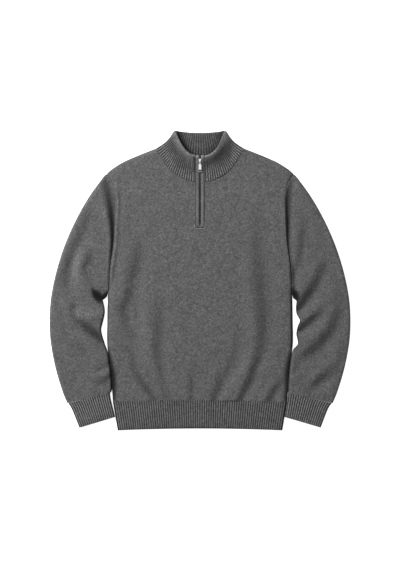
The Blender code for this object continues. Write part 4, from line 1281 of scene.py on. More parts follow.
@dataclass
class FlatTube:
    """Tube of cloth that lies flat, from its outer edge over the top and back below.

    A ring is a place down the tube, and a share runs across it from the outer to the inner edge.
    The edges turn down over a distance of rounding. Near them, within edge_share, the wall's inner
    face is drawn in by its thickness. furrow is the painted shade in a rib's furrow and what a crest
    takes off it, which leaves a painted highlight on the crests.
    """

    side: Side
    thickness: float = JERSEY_WALL
    rounding: float = 9.0
    ribs: int = 0
    edge_share: float = 0.12
    first_ring: float = 0.05
    furrow: tuple[float, float] = (1.35, 1.5)

    def plan(self, ring: Array, share: Array) -> tuple[Array, Array]:
        """Plan place, which each kind of tube gives."""
        raise NotImplementedError

    def top(self, ring: Array, share: Array, x: Array, y: Array) -> Array:
        """Height of the upper face, which each kind of tube gives."""
        raise NotImplementedError

    def inner_share(self, ring: Array, share: Array, width: Array) -> Array:
        """Share at which the inner face of the wall lies.

        Args:
            ring: Ring of each point.
            share: Share of each point on the outer face.
            width: Width of the tube there.

        Returns:
            The share of each point on the inner face.
        """
        lap = self.thickness / width
        turned = share + lap * np.maximum(0.0, 1.0 - share / self.edge_share)
        turned = turned - lap * np.maximum(0.0, 1.0 - (1.0 - share) / self.edge_share)
        return np.where(ring < self.first_ring, np.clip(share, lap, 1.0 - lap), turned)

    def wall(self, name: str, ring: Array, top_share: Array, under_share: Array) -> Wall:
        """Make the tube's wall.

        Args:
            name: Name of the piece.
            ring: Rings of the wall.
            top_share: Shares across the upper face, from the outer edge to the inner one.
            under_share: Shares across the lower face, on the way back.

        Returns:
            The wall.
        """
        shares = np.concatenate([top_share, under_share])
        is_top = np.arange(len(shares)) < len(top_share)
        grid_ring, grid_share = np.meshgrid(ring, shares, indexing="ij")
        x, y = self.plan(grid_ring, grid_share)
        x0, y0 = self.plan(grid_ring, np.zeros_like(grid_share))
        x1, y1 = self.plan(grid_ring, np.ones_like(grid_share))
        width = np.hypot(x1 - x0, y1 - y0)
        xi, yi = self.plan(grid_ring, self.inner_share(grid_ring, grid_share, width))
        edge = np.minimum(grid_share, 1.0 - grid_share) * width
        rise = quarter_round(edge, self.rounding)
        upper = mix(SIDE_SEAM_HEIGHT, self.top(grid_ring, grid_share, x, y), rise)
        z = np.where(is_top, upper, SELVEDGE_RISE * (1.0 - rise))
        ceiling = np.maximum(self.thickness + GAP, upper - self.thickness)
        zi = np.where(is_top, ceiling, self.thickness)
        zi = np.where(is_top & (edge < TOUCHING), self.thickness + GAP / 2, zi)
        middle_x, middle_y = self.plan(ring, np.full_like(ring, 0.5))
        steps = np.hypot(np.diff(middle_x), np.diff(middle_y))
        down = np.concatenate([[0.0], np.cumsum(steps)])[:, None]
        # Painted shade in the rib furrows and a painted highlight on the crests.
        furrow = self.furrow[0] - self.furrow[1] * rib_crest(grid_share * self.ribs) if self.ribs else 0.0
        knit = grid((grid_share - 0.5) * width, down, furrow)
        sign = self.side.value
        return Wall(name, grid(sign * x, y, z), grid(sign * xi, yi, zi), knit, wrap=True)


@dataclass
class Sleeve(FlatTube):
    """Set-in sleeve from the armhole to the cuff seam.

    A valley runs beside the armhole seam. On the wearer's left it has a flat floor before it
    climbs. Small gathers stand at the cuff seam.
    """

    rings: int = 132
    ring_crowding: float = 1.15
    top_points: int = 66
    under_points: int = 22
    evenness: float = 0.55
    cap_rings: float = 0.4
    bow_rings: float = 11.0
    crown: float = 10.2
    spare: float = 0.35
    fold_start: float = 5.0
    swell_start: float = 20.0
    swells: tuple[Swell, ...] = (Swell(0.4, 66.0, 1.3), Swell(0.2, 28.0, 3.2))
    floor_start: tuple[float, float] = (0.03, 0.12)
    floor_end: float = 0.55
    climb_start: float = 0.5
    gathers: int = 9
    gather_height: float = 0.4
    gather_dip: float = 0.1
    gather_reach: float = 0.8

    def edges(self, ring: Array) -> tuple[Array, Array, Array, Array]:
        """Outer and inner ends of the sleeve's cross sections.

        Args:
            ring: Number of the cross section, 0 at the armhole.

        Returns:
            Outer x and y, then inner x and y.
        """
        outer_y = RING_OUTER_Y.at(ring)
        inner_y = RING_INNER_Y.at(ring)
        start = ease(1.0 - ring / self.cap_rings)
        outer_x = mix(SLEEVE_OUTER.at(outer_y), SHOULDER_TIP[0] - SEAM_LAP, start)
        inner_x = mix(SLEEVE_INNER[self.side].at(inner_y), ARMPIT_X - SEAM_LAP, start)
        return outer_x, outer_y, inner_x, inner_y

    def plan(self, ring: Array, share: Array) -> tuple[Array, Array]:
        """Plan place in the sleeve.

        Args:
            ring: Number of the cross section.
            share: Share of the way from the outer to the inner edge.

        Returns:
            The x, positive on either side, and the y.
        """
        outer_x, outer_y, inner_x, inner_y = self.edges(ring)
        seam_y = mix(SHOULDER_TIP[1], ARMPIT_Y, share)
        bow = BODY_SIDE.at(seam_y) - mix(SHOULDER_TIP[0], ARMPIT_X, share)
        x = mix(outer_x, inner_x, share) + bow * (1.0 - ease(ring / self.bow_rings))
        return x, mix(outer_y, inner_y, share)

    def top(self, ring: Array, share: Array, x: Array, y: Array) -> Array:
        """Height of the sleeve's upper face before its edges turn down.

        Args:
            ring: Number of the cross section.
            share: Share of the way across it.
            x: Distance across, positive on either side.
            y: Distance along.

        Returns:
            The height at each point.
        """
        seam_x, seam_y = self.plan(np.zeros_like(ring), share)
        distance = np.hypot(x - seam_x, y - seam_y)
        seam = ARMHOLE_HEIGHT[self.side].at(seam_y)
        width = VALLEY_WIDTH[self.side].at(seam_y)
        signed = self.side.value * x
        full = self.crown + SLEEVE_FOLDS[self.side].at(signed, y) * ease(distance / self.fold_start)
        full = full + ease(distance / self.swell_start) * sum(
            swell.at(signed, y) for swell in self.swells)
        if self.side is Side.LEFT:
            floor = mix(seam, VALLEY_FLOOR, ease((share - self.floor_start[0]) / self.floor_start[1]))
            low = mix(seam, floor, ease(distance / (self.floor_end * width)))
            height = mix(low, full, ease((distance - self.climb_start * width) / width))
        else:
            height = mix(seam, full, ease(distance / width))
        wave = self.gather_height * np.sin(share * 2.0 * math.pi * self.gathers) - self.gather_dip
        height = height + bell(LAST_RING - ring, self.gather_reach) * wave
        return np.maximum(height, 2 * JERSEY_WALL + self.spare)

    def build(self) -> list[Piece]:
        """Build and dress the sleeve.

        Returns:
            The piece.
        """
        ring = np.linspace(0.0, 1.0, self.rings) ** self.ring_crowding * LAST_RING
        top_share = 0.5 - 0.5 * np.cos(np.linspace(0.0, math.pi, self.top_points))
        top_share = mix(top_share, np.linspace(0.0, 1.0, self.top_points), self.evenness)
        under_share = np.linspace(1.0, 0.0, self.under_points + 2)[1:-1]
        wall = self.wall(f"sleeve_{self.side.label}_knit", ring, top_share, under_share)
        # Painted shade and highlights of the creases, on the upper face only.
        shade = SLEEVE_FOLDS[self.side].painted_shade_at(wall.outer[..., 0], wall.outer[..., 1])
        wall.knit[:, :self.top_points, 2] = shade[:, :self.top_points]
        sleeve = dress(wall.build(), PLAIN_KNIT.build())
        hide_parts(f"sleeve_{self.side.label}")
        return [sleeve]


# Edges of each cuff by the share from the seam to the end: outer x, outer y, inner x, inner y.
CUFF_EDGES = {
    Side.RIGHT: (
        (0.0, 329.0, -306.6, 224.6, -281.4), (0.2, 321.8, -318.5, 222.8, -295.0),
        (0.6, 311.5, -343.0, 216.6, -321.0), (1.0, 301.4, -368.0, 211.7, -340.8),
    ),
    Side.LEFT: (
        (0.0, 329.0, -306.6, 219.4, -281.4), (0.2, 321.0, -318.5, 218.1, -295.0),
        (0.6, 311.0, -343.0, 214.5, -321.0), (1.0, 301.6, -367.5, 211.3, -341.0),
    ),
}


@dataclass
class Cuff(FlatTube):
    """Rib cuff with its ribs raised."""

    thickness: float = RIB_WALL
    rounding: float = 7.0
    ribs: int = 18
    points_a_rib: int = 9
    under_points: int = 24
    middle_rows: int = 14
    near_end: float = 0.99
    relief: BandRelief = BandRelief(8.7, 0.5, 1.3, Swell(0.4, 44.0, 4.4))

    def plan(self, ring: Array, share: Array) -> tuple[Array, Array]:
        """Plan place in the cuff.

        Args:
            ring: Share of the way from the seam to the end.
            share: Share of the way from the outer to the inner edge.

        Returns:
            The x, positive on either side, and the y.
        """
        rows = CUFF_EDGES[self.side]
        outer_x, outer_y, inner_x, inner_y = (
            Curve(tuple((row[0], row[column]) for row in rows)).at(ring) for column in (1, 2, 3, 4))
        return mix(outer_x, inner_x, share), mix(outer_y, inner_y, share)

    def top(self, ring: Array, share: Array, x: Array, y: Array) -> Array:
        """Height of the upper face, its ribs included."""
        return self.relief.at(ring, x, y) + self.relief.proud * rib_crest(share * self.ribs)

    def build(self) -> list[Piece]:
        """Build and dress the cuff.

        Returns:
            The piece.
        """
        top_share = np.linspace(0.0, 1.0, self.ribs * self.points_a_rib + 1)
        under_share = np.linspace(1.0, 0.0, self.under_points + 2)[1:-1]
        wall = self.wall(f"cuff_{self.side.label}_knit", rib_rows(self.middle_rows, self.near_end),
                         top_share, under_share)
        cuff = dress(wall.build(), RIB_KNIT.build())
        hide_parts(f"cuff_{self.side.label}")
        return [cuff]


# ---- hem ----


@dataclass
class HemBand:
    """Rib band round the foot of the body, in a front and a back half.

    The feet are the lower edges along Y, in the middle and at the sides. The front's ribs fade
    out where the band turns down at its sides, and turned is the painted shade on those edges.
    """

    ribs: int = 75
    points_a_rib: int = 8
    middle_rows: int = 12
    near_end: float = 0.992
    back_points_a_rib: int = 6
    back_rows: int = 12
    relief: BandRelief = BandRelief(7.9, 0.6, 1.2, Swell(0.45, 90.0, 5.2))
    foot_half: float = 205.6
    front_foot: tuple[float, float] = (-367.5, -374.6)
    back_foot: tuple[float, float] = (-370.0, -374.6)
    seam_lap: float = 0.08
    edge_height: float = SIDE_SEAM_HEIGHT + 0.5
    side_rounding: float = 14.0
    back_rounding: float = 7.0
    rib_fade: tuple[float, float] = (1.0, 4.0)
    slack: float = 0.4
    back_furrow: float = 0.5
    turned: dict[Side, float] = field(default_factory=lambda: {Side.RIGHT: 1.8, Side.LEFT: 1.5})
    turned_width: float = 2.6

    def plan(self, share: Array, down: Array, foot: tuple[float, float]) -> tuple[Array, Array]:
        """Plan place in the band.

        Args:
            share: Place across, from -1 to 1.
            down: Place down the band, from 0 to 1.
            foot: Lower edge along Y, in the middle and at the sides.

        Returns:
            The x and the y.
        """
        top_y = mix(HEM_SEAM_MIDDLE, HEM_SEAM_SIDE, share ** 2) - self.seam_lap
        foot_y = mix(foot[0], foot[1], share ** 2)
        half = mix(HEM_SEAM_HALF + SEAM_LAP, self.foot_half, down)
        return half * share, mix(top_y, foot_y, down)

    def build_front(self) -> Piece:
        """Make the front half, with raised ribs.

        Returns:
            The piece.
        """
        across = np.linspace(-1.0, 1.0, self.ribs * self.points_a_rib + 1)
        rows = rib_rows(self.middle_rows, self.near_end)
        grid_down, grid_share = np.meshgrid(rows, across, indexing="ij")
        x, y = self.plan(grid_share, grid_down, self.front_foot)
        edge = (1.0 - np.abs(grid_share)) * self.foot_half
        full = self.relief.at(grid_down, x, y)
        plain = mix(self.edge_height, full, quarter_round(edge, self.side_rounding))
        crest = rib_crest((grid_share + 1.0) / 2.0 * self.ribs)
        fade = quarter_round(edge + self.rib_fade[0], self.rib_fade[1])
        top = plain + self.relief.proud * crest * fade
        under = np.maximum(RIB_WALL + GAP, plain - RIB_WALL + self.slack)
        turned = np.where(x < 0.0, self.turned[Side.RIGHT], self.turned[Side.LEFT])
        # Painted shade in the rib furrows and on the turned side edges.
        shade = 1.0 - crest + turned * bell(edge, self.turned_width)
        return Wall("hem_front_knit", grid(x, y, top), grid(x, y, under), grid(x, y, shade)).build()

    def build_back(self) -> Piece:
        """Make the back half, flat on the floor.

        Returns:
            The piece.
        """
        across = np.linspace(-1.0, 1.0, self.back_points_a_rib * self.ribs + 1)
        grid_down, grid_share = np.meshgrid(
            np.linspace(0.0, 1.0, self.back_rows), across, indexing="ij")
        x, y = self.plan(grid_share, grid_down, self.back_foot)
        edge = (1.0 - np.abs(grid_share)) * self.foot_half
        furrow = 1.0 - rib_crest((grid_share + 1.0) / 2.0 * self.ribs)
        lift = SELVEDGE_RISE * (1.0 - quarter_round(edge, self.back_rounding))
        low = lift + self.back_furrow * furrow
        # The back's furrows also get painted shade.
        return Wall("hem_back_knit", grid(x, y, RIB_WALL), grid(x, y, low), grid(x, y, furrow)).build()

    def build(self) -> list[Piece]:
        """Build and dress both halves.

        Returns:
            The pieces.
        """
        knit = RIB_KNIT.build()
        front = dress(self.build_front(), knit)
        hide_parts("hem_front")
        back = dress(self.build_back(), knit)
        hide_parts("hem_back")
        return [front, back]


# ---- collar ----

COLLAR_TOP = {
    Side.RIGHT: Curve(((11.5, 312.1), (26, 318), (38.8, 330.5), (49, 346.5), (56, 362), (60, 370.8),
        (63.2, 375.1))),
    Side.LEFT: Curve(((11.5, 310.9), (22.5, 313.8), (35, 322.5), (46, 337), (54, 355.5), (59.5, 369.8),
        (63.2, 375.1))),
}
COLLAR_TOP_BACK = Curve(((0, 369.2), (20, 369.6), (45, 371.9), (63.2, 375.1)))
COLLAR_RISE = Curve(((0, 20.5), (0.3, 20.5), (0.6, 18.5), (0.85, 14), (1, 11)))


@dataclass
class Collar:
    """Doubled rib stand collar, folded at its top edge and open at the zip.

    share runs from the middle to the side fold and up from the neck seam to the top edge, both
    from 0 to 1. face is 1 outside, -1 inside and between them over the roll. Pairs are the share
    where something starts or is centred, and how wide it is. The back's ribs fan out towards the
    neck, from back_pitch millimetres at the top edge.
    """

    front_ribs: int = 21
    back_columns: int = 170
    points_a_rib: int = 8
    outside_rows: int = 22
    inside_rows: int = 14
    turn_rows: int = 7
    roll_share: float = BAND_WALL / 2 / 62.0
    seam_height: float = 10.4
    rise_power: float = 1.25
    hollow: dict[Side, float] = field(default_factory=lambda: {Side.RIGHT: 3.74, Side.LEFT: 5.94})
    hollow_at: tuple[float, float] = (0.66, 0.2)
    beside_zip: float = 0.13
    beside_fold: tuple[float, float] = (0.95, 0.45)
    zip_dip: float = 1.6
    bow: float = 5.5
    bow_drop: float = 0.3
    foot: float = 0.002
    proud: float = 1.2
    rib_end: tuple[float, float] = (0.84, 0.55)
    rib_turn: tuple[float, float] = (-0.1, 0.5)
    rib_least: float = 0.12
    roll_swell: float = 1.5
    roll_reach: float = 0.075
    # Shades painted into the knit's colour: an even darkening of the whole collar, painted shade in the
    # rib furrows, and a painted highlight on the crests near the seam.
    base_shade: float = 0.08
    furrow_shade: float = 1.1
    crest_highlight: dict[Side, float] = field(
        default_factory=lambda: {Side.RIGHT: 0.18, Side.LEFT: 0.24})
    crest_end: tuple[float, float] = (0.5, 0.3)
    back_pitch: float = 5.0
    back_fan: float = 0.041
    back_proud: float = 0.96
    back_top: tuple[float, float] = (1.02, 0.12)
    back_side: float = 12.0
    back_nose: float = 8.0
    # Painted shade over the back, seen inside the neck opening, and in its rib furrows.
    back_shade: float = 0.1
    back_furrow_shade: float = 0.75
    fold_rounding: float = 10.0
    # Painted shade in the hollows under the rolled edge and beside the top of the zip, and painted
    # highlights along the rolled top edge where the number is below 0.
    front_painted_light: CreaseField = CreaseField((
        roll((0.6, 1, 1, 0.9, 0.4), (9, 12, 13, 12, 9), ((74, 344), (64, 324), (52, 307), (38, 297),
            (23, 292)), 0.52),
        roll((0.3, 1, 1, 0.8), (11, 12, 11, 7), ((-58, 304), (-42, 290), (-27, 289), (-17, 298)), 0.2),
        roll((1, 1, 0.5), (2.8, 2.6, 2.2), ((-14.2, 307), (-14.2, 294), (-14.2, 276)), 0.7),
        roll((0.7, 1, 1, 0.8), (8, 9, 9, 9), ((-74, 354), (-65, 336), (-53, 319), (-38, 305)), 0.26),
        roll((0.12, 0.14, 0.3, 0.42, 0.55, 1), (4.4, 4.6, 4.4, 3.8, 3.8, 3.4), ((-62, 371), (-57.5, 352),
            (-50, 337), (-39, 323), (-24, 312.5), (-10, 309.5)), -0.44),
        roll((0.6, 0.9, 1.1, 1.2, 1.2), (5, 5.2, 5, 4.8, 4.2), ((64, 371), (59.5, 352), (51, 335),
            (39, 322), (24, 312), (9, 309.5)), -0.46),
    ))
    # Painted shadow that the front's folded sides cast on the back's inside, and painted shade low in the
    # neck opening.
    inner_painted_shade: CreaseField = CreaseField((
        roll((1, 1, 0.9, 0.6), (14, 13, 10, 7), ((-61, 380), (-54, 353), (-43, 335), (-25, 318)), 0.75),
        roll((1, 0.9, 0.8, 0.5), (13, 12, 10, 8), ((61, 380), (55, 354), (44, 336), (25, 320)), 0.42),
        roll((0.5, 1, 0.5), (12, 10, 12), ((-30, 318), (0, 312), (30, 318)), 0.2),
    ))

    def plan(self, side: Side, front: bool, share: Array, up: Array) -> tuple[Array, Array]:
        """Plan place in the collar.

        Args:
            side: Side of the garment.
            front: True in the front half.
            share: Place from the middle to the side fold, from 0 to 1.
            up: Place from the neck seam to the top edge, from 0 to 1.

        Returns:
            The x, positive on either side, and the y.
        """
        seam = NECK_FRONT if front else NECK_BACK
        edge = COLLAR_TOP[side] if front else COLLAR_TOP_BACK
        seam_x, seam_y = along(seam.points(), share)
        top_x, top_y = along(edge.points(), share)
        bow = self.bow * np.sin(math.pi * np.minimum(up * 1.1, 1.0)) * ease(2.0 * share - 1.0)
        return mix(seam_x, top_x, up) - bow, mix(seam_y, top_y, up) - self.bow_drop * bow

    def width(self, side: Side, front: bool, up: Array) -> Array:
        """Distance from the middle to the side fold.

        Args:
            side: Side of the garment.
            front: True in the front half.
            up: Place from the neck seam to the top edge.

        Returns:
            The distance at each place.
        """
        x0, y0 = self.plan(side, front, np.zeros_like(up), up)
        x1, y1 = self.plan(side, front, np.ones_like(up), up)
        return np.hypot(x1 - x0, y1 - y0)

    def front_top(self, side: Side, share: Array, up: Array) -> Array:
        """Height of the front half's upper face, without ribs.

        Args:
            side: Side of the garment.
            share: Place from the middle to the side fold.
            up: Place from the neck seam to the top edge.

        Returns:
            The height at each place.
        """
        full = mix(self.seam_height, COLLAR_RISE.at(share), up ** self.rise_power)
        beside = ease(share / self.beside_zip)
        beside = beside * ease((self.beside_fold[0] - share) / self.beside_fold[1])
        full = full - self.hollow[side] * beside * bell(up - self.hollow_at[0], self.hollow_at[1])
        full = full - self.zip_dip * (1.0 - beside) * np.sin(math.pi * np.clip(up, 0.0, 1.0)) ** 2
        full = full + self.roll_swell * bell(1.0 - up, self.roll_reach)
        edge = (1.0 - share) * self.width(side, True, up)
        return mix(BAND_WALL + GAP / 2, full, quarter_round(edge, self.fold_rounding))

    def front_relief(self, side: Side, share: Array, up: Array, face: Array, crest: Array,
                     depth: Array) -> tuple[Array, Array]:
        """Height and shade of the front half, its ribs included.

        Args:
            side: Side of the garment.
            share: Place from the middle to the side fold.
            up: Place from the neck seam to the top edge.
            face: 1 outside, -1 inside.
            crest: Share of the rib height.
            depth: Painted shade of the rolls and hollows, a painted highlight where below 0.

        Returns:
            The height and the shade at each place.
        """
        top = self.front_top(side, share, up)
        swell = self.roll_swell * bell(1.0 - up, self.roll_reach)
        below = np.maximum(BAND_WALL + GAP, top - BAND_WALL - swell)
        fade = ease((self.rib_end[0] - up) / self.rib_end[1])
        fade = fade * ease((face - self.rib_turn[0]) / self.rib_turn[1])
        fade = mix(self.rib_least, 1.0, fade)
        z = mix(below, top, (1.0 + face) / 2.0) + self.proud * crest * fade * (face > 0.0)
        # Painted highlight on the rib crests near the seam.
        lit = self.crest_highlight[side] * crest * ease((self.crest_end[0] - up) / self.crest_end[1])
        shade = self.base_shade + self.furrow_shade * (1.0 - crest) * fade
        return z, shade + depth * (face > -0.5) - lit

    def back_relief(self, edge: Array, up: Array, face: Array, crest: Array,
                    depth: Array) -> tuple[Array, Array]:
        """Height and shade of the back half, with ribs inside the neck.

        Args:
            edge: Distance from the side fold, in millimetres.
            up: Place from the neck seam to the top edge.
            face: 1 outside, -1 inside.
            crest: Share of the rib height.
            depth: Painted shade and shadow inside the back.

        Returns:
            The height and the shade at each place.
        """
        nose = np.where(face > 0.0, 1.0 - quarter_round(edge, self.back_nose), 0.0)
        z = mix(BAND_WALL * (1.0 - face) / 2.0, BAND_WALL + GAP / 2, nose)
        fade = ease((self.back_top[0] - up) / self.back_top[1]) * (face < 0.0)
        fade = fade * ease(edge / self.back_side)
        shade = self.base_shade + self.back_furrow_shade * (1.0 - crest) * fade
        return z + self.back_proud * crest * fade, shade + self.back_shade + depth

    def section(self, side: Side, front: bool, share: Array) -> Array:
        """Closed sections of the band, up its outer face, over the roll and down inside.

        Args:
            side: Side of the garment.
            front: True in the front half.
            share: Place of each section from the middle to the side fold.

        Returns:
            Points and shade of each section, sections by points by numbers.
        """
        outside = np.concatenate([
            [self.foot, 0.02], np.linspace(0.05, 1.0 - self.roll_share, self.outside_rows)])
        turn = np.linspace(0.0, math.pi, self.turn_rows + 2)[1:-1]
        over = 1.0 - self.roll_share * (1.0 - np.sin(turn))
        inside = np.append(np.linspace(1.0 - self.roll_share, 0.06, self.inside_rows), self.foot)
        faces = np.concatenate([np.ones(len(outside)), np.cos(turn), -np.ones(len(inside))])
        share, up = np.meshgrid(share, np.concatenate([outside, over, inside]), indexing="ij")
        face = np.broadcast_to(faces, up.shape)
        width = self.width(side, front, up)
        lap = BAND_WALL / width * (1.0 - face) / 2.0
        x, y = self.plan(side, front, share * (1.0 - lap), up)
        signed = side.value * x
        if front:
            crest = rib_crest(share * self.front_ribs)
            depth = self.front_painted_light.painted_shade_at(signed, y)
            z, shade = self.front_relief(side, share, up, face, crest, depth)
        else:
            crest = rib_crest(x / (self.back_pitch + self.back_fan * (COLLAR_TOP_BACK.rows[0][1] - y)))
            depth = self.inner_painted_shade.painted_shade_at(signed, y)
            z, shade = self.back_relief((1.0 - share) * width, up, face, crest, depth)
        return np.stack([signed, y, z, shade], -1)

    def side_sections(self, side: Side) -> Array:
        """Sections of one side, from the zip over the side fold to the middle of the back.

        Args:
            side: Side of the garment.

        Returns:
            Points and shade of each section.
        """
        share = np.linspace(0.0, 1.0, self.front_ribs * self.points_a_rib + 1)
        back_share = np.linspace(1.0, 0.0, self.back_columns + 1)[1:]
        return np.concatenate([self.section(side, True, share), self.section(side, False, back_share)])

    def build(self) -> list[Piece]:
        """Build and dress the collar.

        Returns:
            The piece.
        """
        left = self.side_sections(Side.LEFT)
        sections = np.concatenate([self.side_sections(Side.RIGHT), left[::-1][1:]])
        sections, shade = sections[..., :3], sections[..., 3]
        steps = np.linalg.norm(np.diff(sections.mean(axis=1), axis=0), axis=1)
        round_neck = np.concatenate([[0.0], np.cumsum(steps)])
        one = sections[len(sections) // 4]
        up = np.cumsum(np.linalg.norm(np.diff(one, axis=0, prepend=one[:1]), axis=1))
        collar = loft("collar_knit", sections, grid(round_neck[:, None], up[None, :], shade))
        dress(collar, RIB_KNIT.build())
        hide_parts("collar")
        return [collar]


# ---- zip ----


# Sections of a tooth from its root to its nose: share of its reach, half its width.
TOOTH_SECTIONS = ((0.0, 0.62), (0.35, 0.62), (0.55, 0.42), (0.8, 0.50), (1.0, 0.34))


@dataclass
class ZipFastener:
    """Knit strips, teeth, tapes, slider and pull of the front zip.

    The strips are rounded bands that wrap over the collar's top edge. Each has a groove at its
    outer edge, and at the foot of the zip the two close up to foot_inner.
    """

    body: BodyPanels
    collar: Collar
    top_y: float = COLLAR_TOP[Side.LEFT].rows[0][1]
    foot_inner: float = 0.3
    foot_close: float = 2.4
    trim_inner: float = 2.4
    trim_outer: float = 11.2
    trim_thick: float = 2.8
    trim_proud: float = 1.0
    strip_rows: int = 100
    strip_corners: int = 24
    wrap_start: float = 4.0
    wrap_rows: int = 16
    wrap_lead: float = 0.4
    wrap_radius: float = 4.4
    wrap_turn: tuple[float, float] = (8.0, 150.0)
    groove: float = 1.0
    groove_width: float = 0.11
    ripple: float = 0.12
    ripple_pitch: float = 3.4
    top_highlight: tuple[float, float] = (303.0, 5.0)
    end_bar: float = 4.6
    end_gap: float = 0.35
    end_crown: float = 1.4
    end_rounding: float = 1.5
    tooth_pitch: float = 2.1
    tooth_reach: float = 2.15
    tooth_nose: float = -0.55
    tooth_drop: float = 0.35
    tooth_bevel: float = 0.7
    tooth_thick: float = 1.8
    tooth_edge: float = math.radians(40.0)
    teeth_start: float = 3.6
    teeth_end: float = 7.0
    chain_top: float = -0.2

    def surface(self, y: Array) -> Array:
        """Height of the cloth beside the zip.

        Args:
            y: Distance along.

        Returns:
            The height at each place.
        """
        seam_y = NECK_FRONT.rows[0][1]
        panel = self.body.top(np.full(y.shape, SLOT_HALF), np.minimum(y, seam_y))
        panel = mix(panel, self.collar.seam_height, ease((y - seam_y + 20.0) / 20.0))
        up = np.clip((y - seam_y) / (self.top_y - seam_y), 0.0, 1.0)
        collar = self.collar.front_top(Side.LEFT, np.zeros_like(up), up)
        return np.where(y <= seam_y, panel, collar)

    def path(self) -> tuple[Array, Array, Array, Array]:
        """Centre line of a strip, up the zip and over the collar's top edge.

        Returns:
            The y, the z and the two parts of the line's direction.
        """
        y = np.linspace(SLOT_FOOT + self.end_bar + GAP, self.top_y - self.wrap_start, self.strip_rows)
        z = self.surface(y)
        turn = np.radians(np.linspace(*self.wrap_turn, self.wrap_rows))
        round_y = y[-1] + self.wrap_lead + self.wrap_radius * np.sin(turn)
        round_z = z[-1] - self.wrap_radius * (1.0 - np.cos(turn))
        along_y = np.concatenate([np.ones(len(y)), np.cos(turn)])
        along_z = np.concatenate([np.zeros(len(y)), -np.sin(turn)])
        return np.concatenate([y, round_y]), np.concatenate([z, round_z]), along_y, along_z

    def strip_shade(self, y: Array, across: Array) -> Array:
        """Painted shade of a strip by y and place across it: dark in its groove, a painted highlight on
        its crest and over the collar's top edge.
        """
        shade = 0.5 * bell(across - 1.0, 0.13) - 0.26 * bell(across - 0.42, 0.3)
        return shade - 0.3 * ease((y - self.top_highlight[0]) / self.top_highlight[1])

    def build_strip(self, side: Side) -> Piece:
        """Make the knit strip beside the teeth.

        Args:
            side: Side of the garment.

        Returns:
            The dressed piece.
        """
        y, z, along_y, along_z = self.path()
        angle = np.linspace(0.0, 2.0 * math.pi, self.strip_corners, endpoint=False)
        across = 0.5 + 0.5 * np.sign(np.cos(angle)) * np.abs(np.cos(angle)) ** 0.8
        high = 0.5 + 0.5 * np.sign(np.sin(angle)) * np.abs(np.sin(angle)) ** 0.85
        groove = np.where(high > 0.5, self.groove * bell(across - 1.0, self.groove_width), 0.0)
        length = np.concatenate([[0.0], np.cumsum(np.hypot(np.diff(y), np.diff(z)))])[:, None]
        y, z, along_y, along_z = (row[:, None] for row in (y, z, along_y, along_z))
        ripple = self.ripple * np.sin(y * 2.0 * math.pi / self.ripple_pitch) * (high > 0.6)
        rise = self.trim_proud - self.trim_thick * (1.0 - high) - groove + ripple
        closing = ease((y - SLOT_FOOT - self.end_bar - self.foot_close) / self.foot_close)
        px = mix(mix(self.foot_inner, self.trim_inner, closing), self.trim_outer, across)
        points = grid(side.value * px, y - along_z * rise, z + along_y * rise)
        # Painted shade in the strip's groove and painted highlights on its crest and top.
        knit = grid(px, length, self.strip_shade(y, across))
        strip = loft(f"zip_strip_{side.label}", points, knit)
        dress(strip, STRIP_KNIT.build())
        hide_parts(f"zip_trim_{side.label}")
        return strip

    def build_end_bar(self) -> Piece:
        """Make the bar of the same knit across the foot of the zip.

        Returns:
            The dressed piece.
        """
        down, share = np.meshgrid(np.linspace(0.0, 1.0, 13), np.linspace(-1.0, 1.0, 61), indexing="ij")
        half = SLOT_HALF - GAP
        base = float(self.surface(np.array([SLOT_FOOT]))[0]) + self.trim_proud
        x = share * half
        y = SLOT_FOOT + self.end_gap + down * (self.end_bar - self.end_gap)
        edge = (1.0 - np.abs(share)) * half
        crown = np.sin(math.pi * down) ** 0.5 * quarter_round(edge, self.end_rounding)
        top = base - self.end_crown + self.end_crown * crown
        wall = Wall("zip_end_bar", grid(x, y, top), grid(x, y, base - self.trim_thick), grid(y, x, 0.0))
        bar = dress(wall.build(), STRIP_KNIT.build())
        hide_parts("zip_trim_end")
        return bar

    def build_teeth(self) -> Piece:
        """Make the interlocked metal teeth as one mesh.

        Returns:
            The dressed piece.
        """
        start = SLOT_FOOT + self.end_bar + self.teeth_start
        pairs = int((self.top_y - self.teeth_end - start) / self.tooth_pitch)
        index = np.arange(2 * pairs)
        sign = np.where(index % 2, 1.0, -1.0)[:, None, None]
        y = start + index * self.tooth_pitch / 2.0
        z = (self.surface(y) + self.chain_top)[:, None, None]
        reach, half = (column[:, None] for column in np.array(TOOTH_SECTIONS).T)
        corner_y = np.array((-1.0, -self.tooth_bevel, self.tooth_bevel, 1.0, 1.0, -1.0))
        corner_z = np.array((-0.35, 0.0, 0.0, -0.35, -self.tooth_thick, -self.tooth_thick))
        sections = grid(sign * mix(self.tooth_reach, self.tooth_nose, reach),
                        y[:, None, None] + half * corner_y,
                        z + corner_z - self.tooth_drop * reach ** 2)
        sections[::2] = sections[::2, :, ::-1]
        teeth = beads("zip_teeth", sections)
        teeth.data.set_sharp_from_angle(angle=self.tooth_edge)
        dress(teeth, DARK_TEETH.build())
        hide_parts("zip_chain")
        return teeth

    def finish_nodes(self) -> list[Piece]:
        """Give the tapes, slider and pull of the frame their finishes.

        Returns:
            The finished nodes.
        """
        tape = ZIP_TAPE.build()
        metal = POLISHED_PULL.build()
        nickel = WORN_NICKEL.build()
        finished = []
        for name, material in (("zip_tape_left", tape), ("zip_tape_right", tape),
                               ("zip_slider", nickel), ("zip_pull", metal)):
            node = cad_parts[name]
            for slot in node.material_slots:
                slot.material = material
            finished.append(node)
        return finished

    def build(self) -> list[Piece]:
        """Build and dress the zip.

        Returns:
            The pieces.
        """
        strips = [self.build_strip(side) for side in Side]
        return [*strips, self.build_end_bar(), self.build_teeth(), *self.finish_nodes()]


# ---- seams ----


# Sections of a stitch from end to end: share of half its length, share of its thickness.
STITCH_SECTIONS = ((-1.0, 0.25), (-0.6, 0.85), (0.0, 1.0), (0.6, 0.85), (1.0, 0.25))


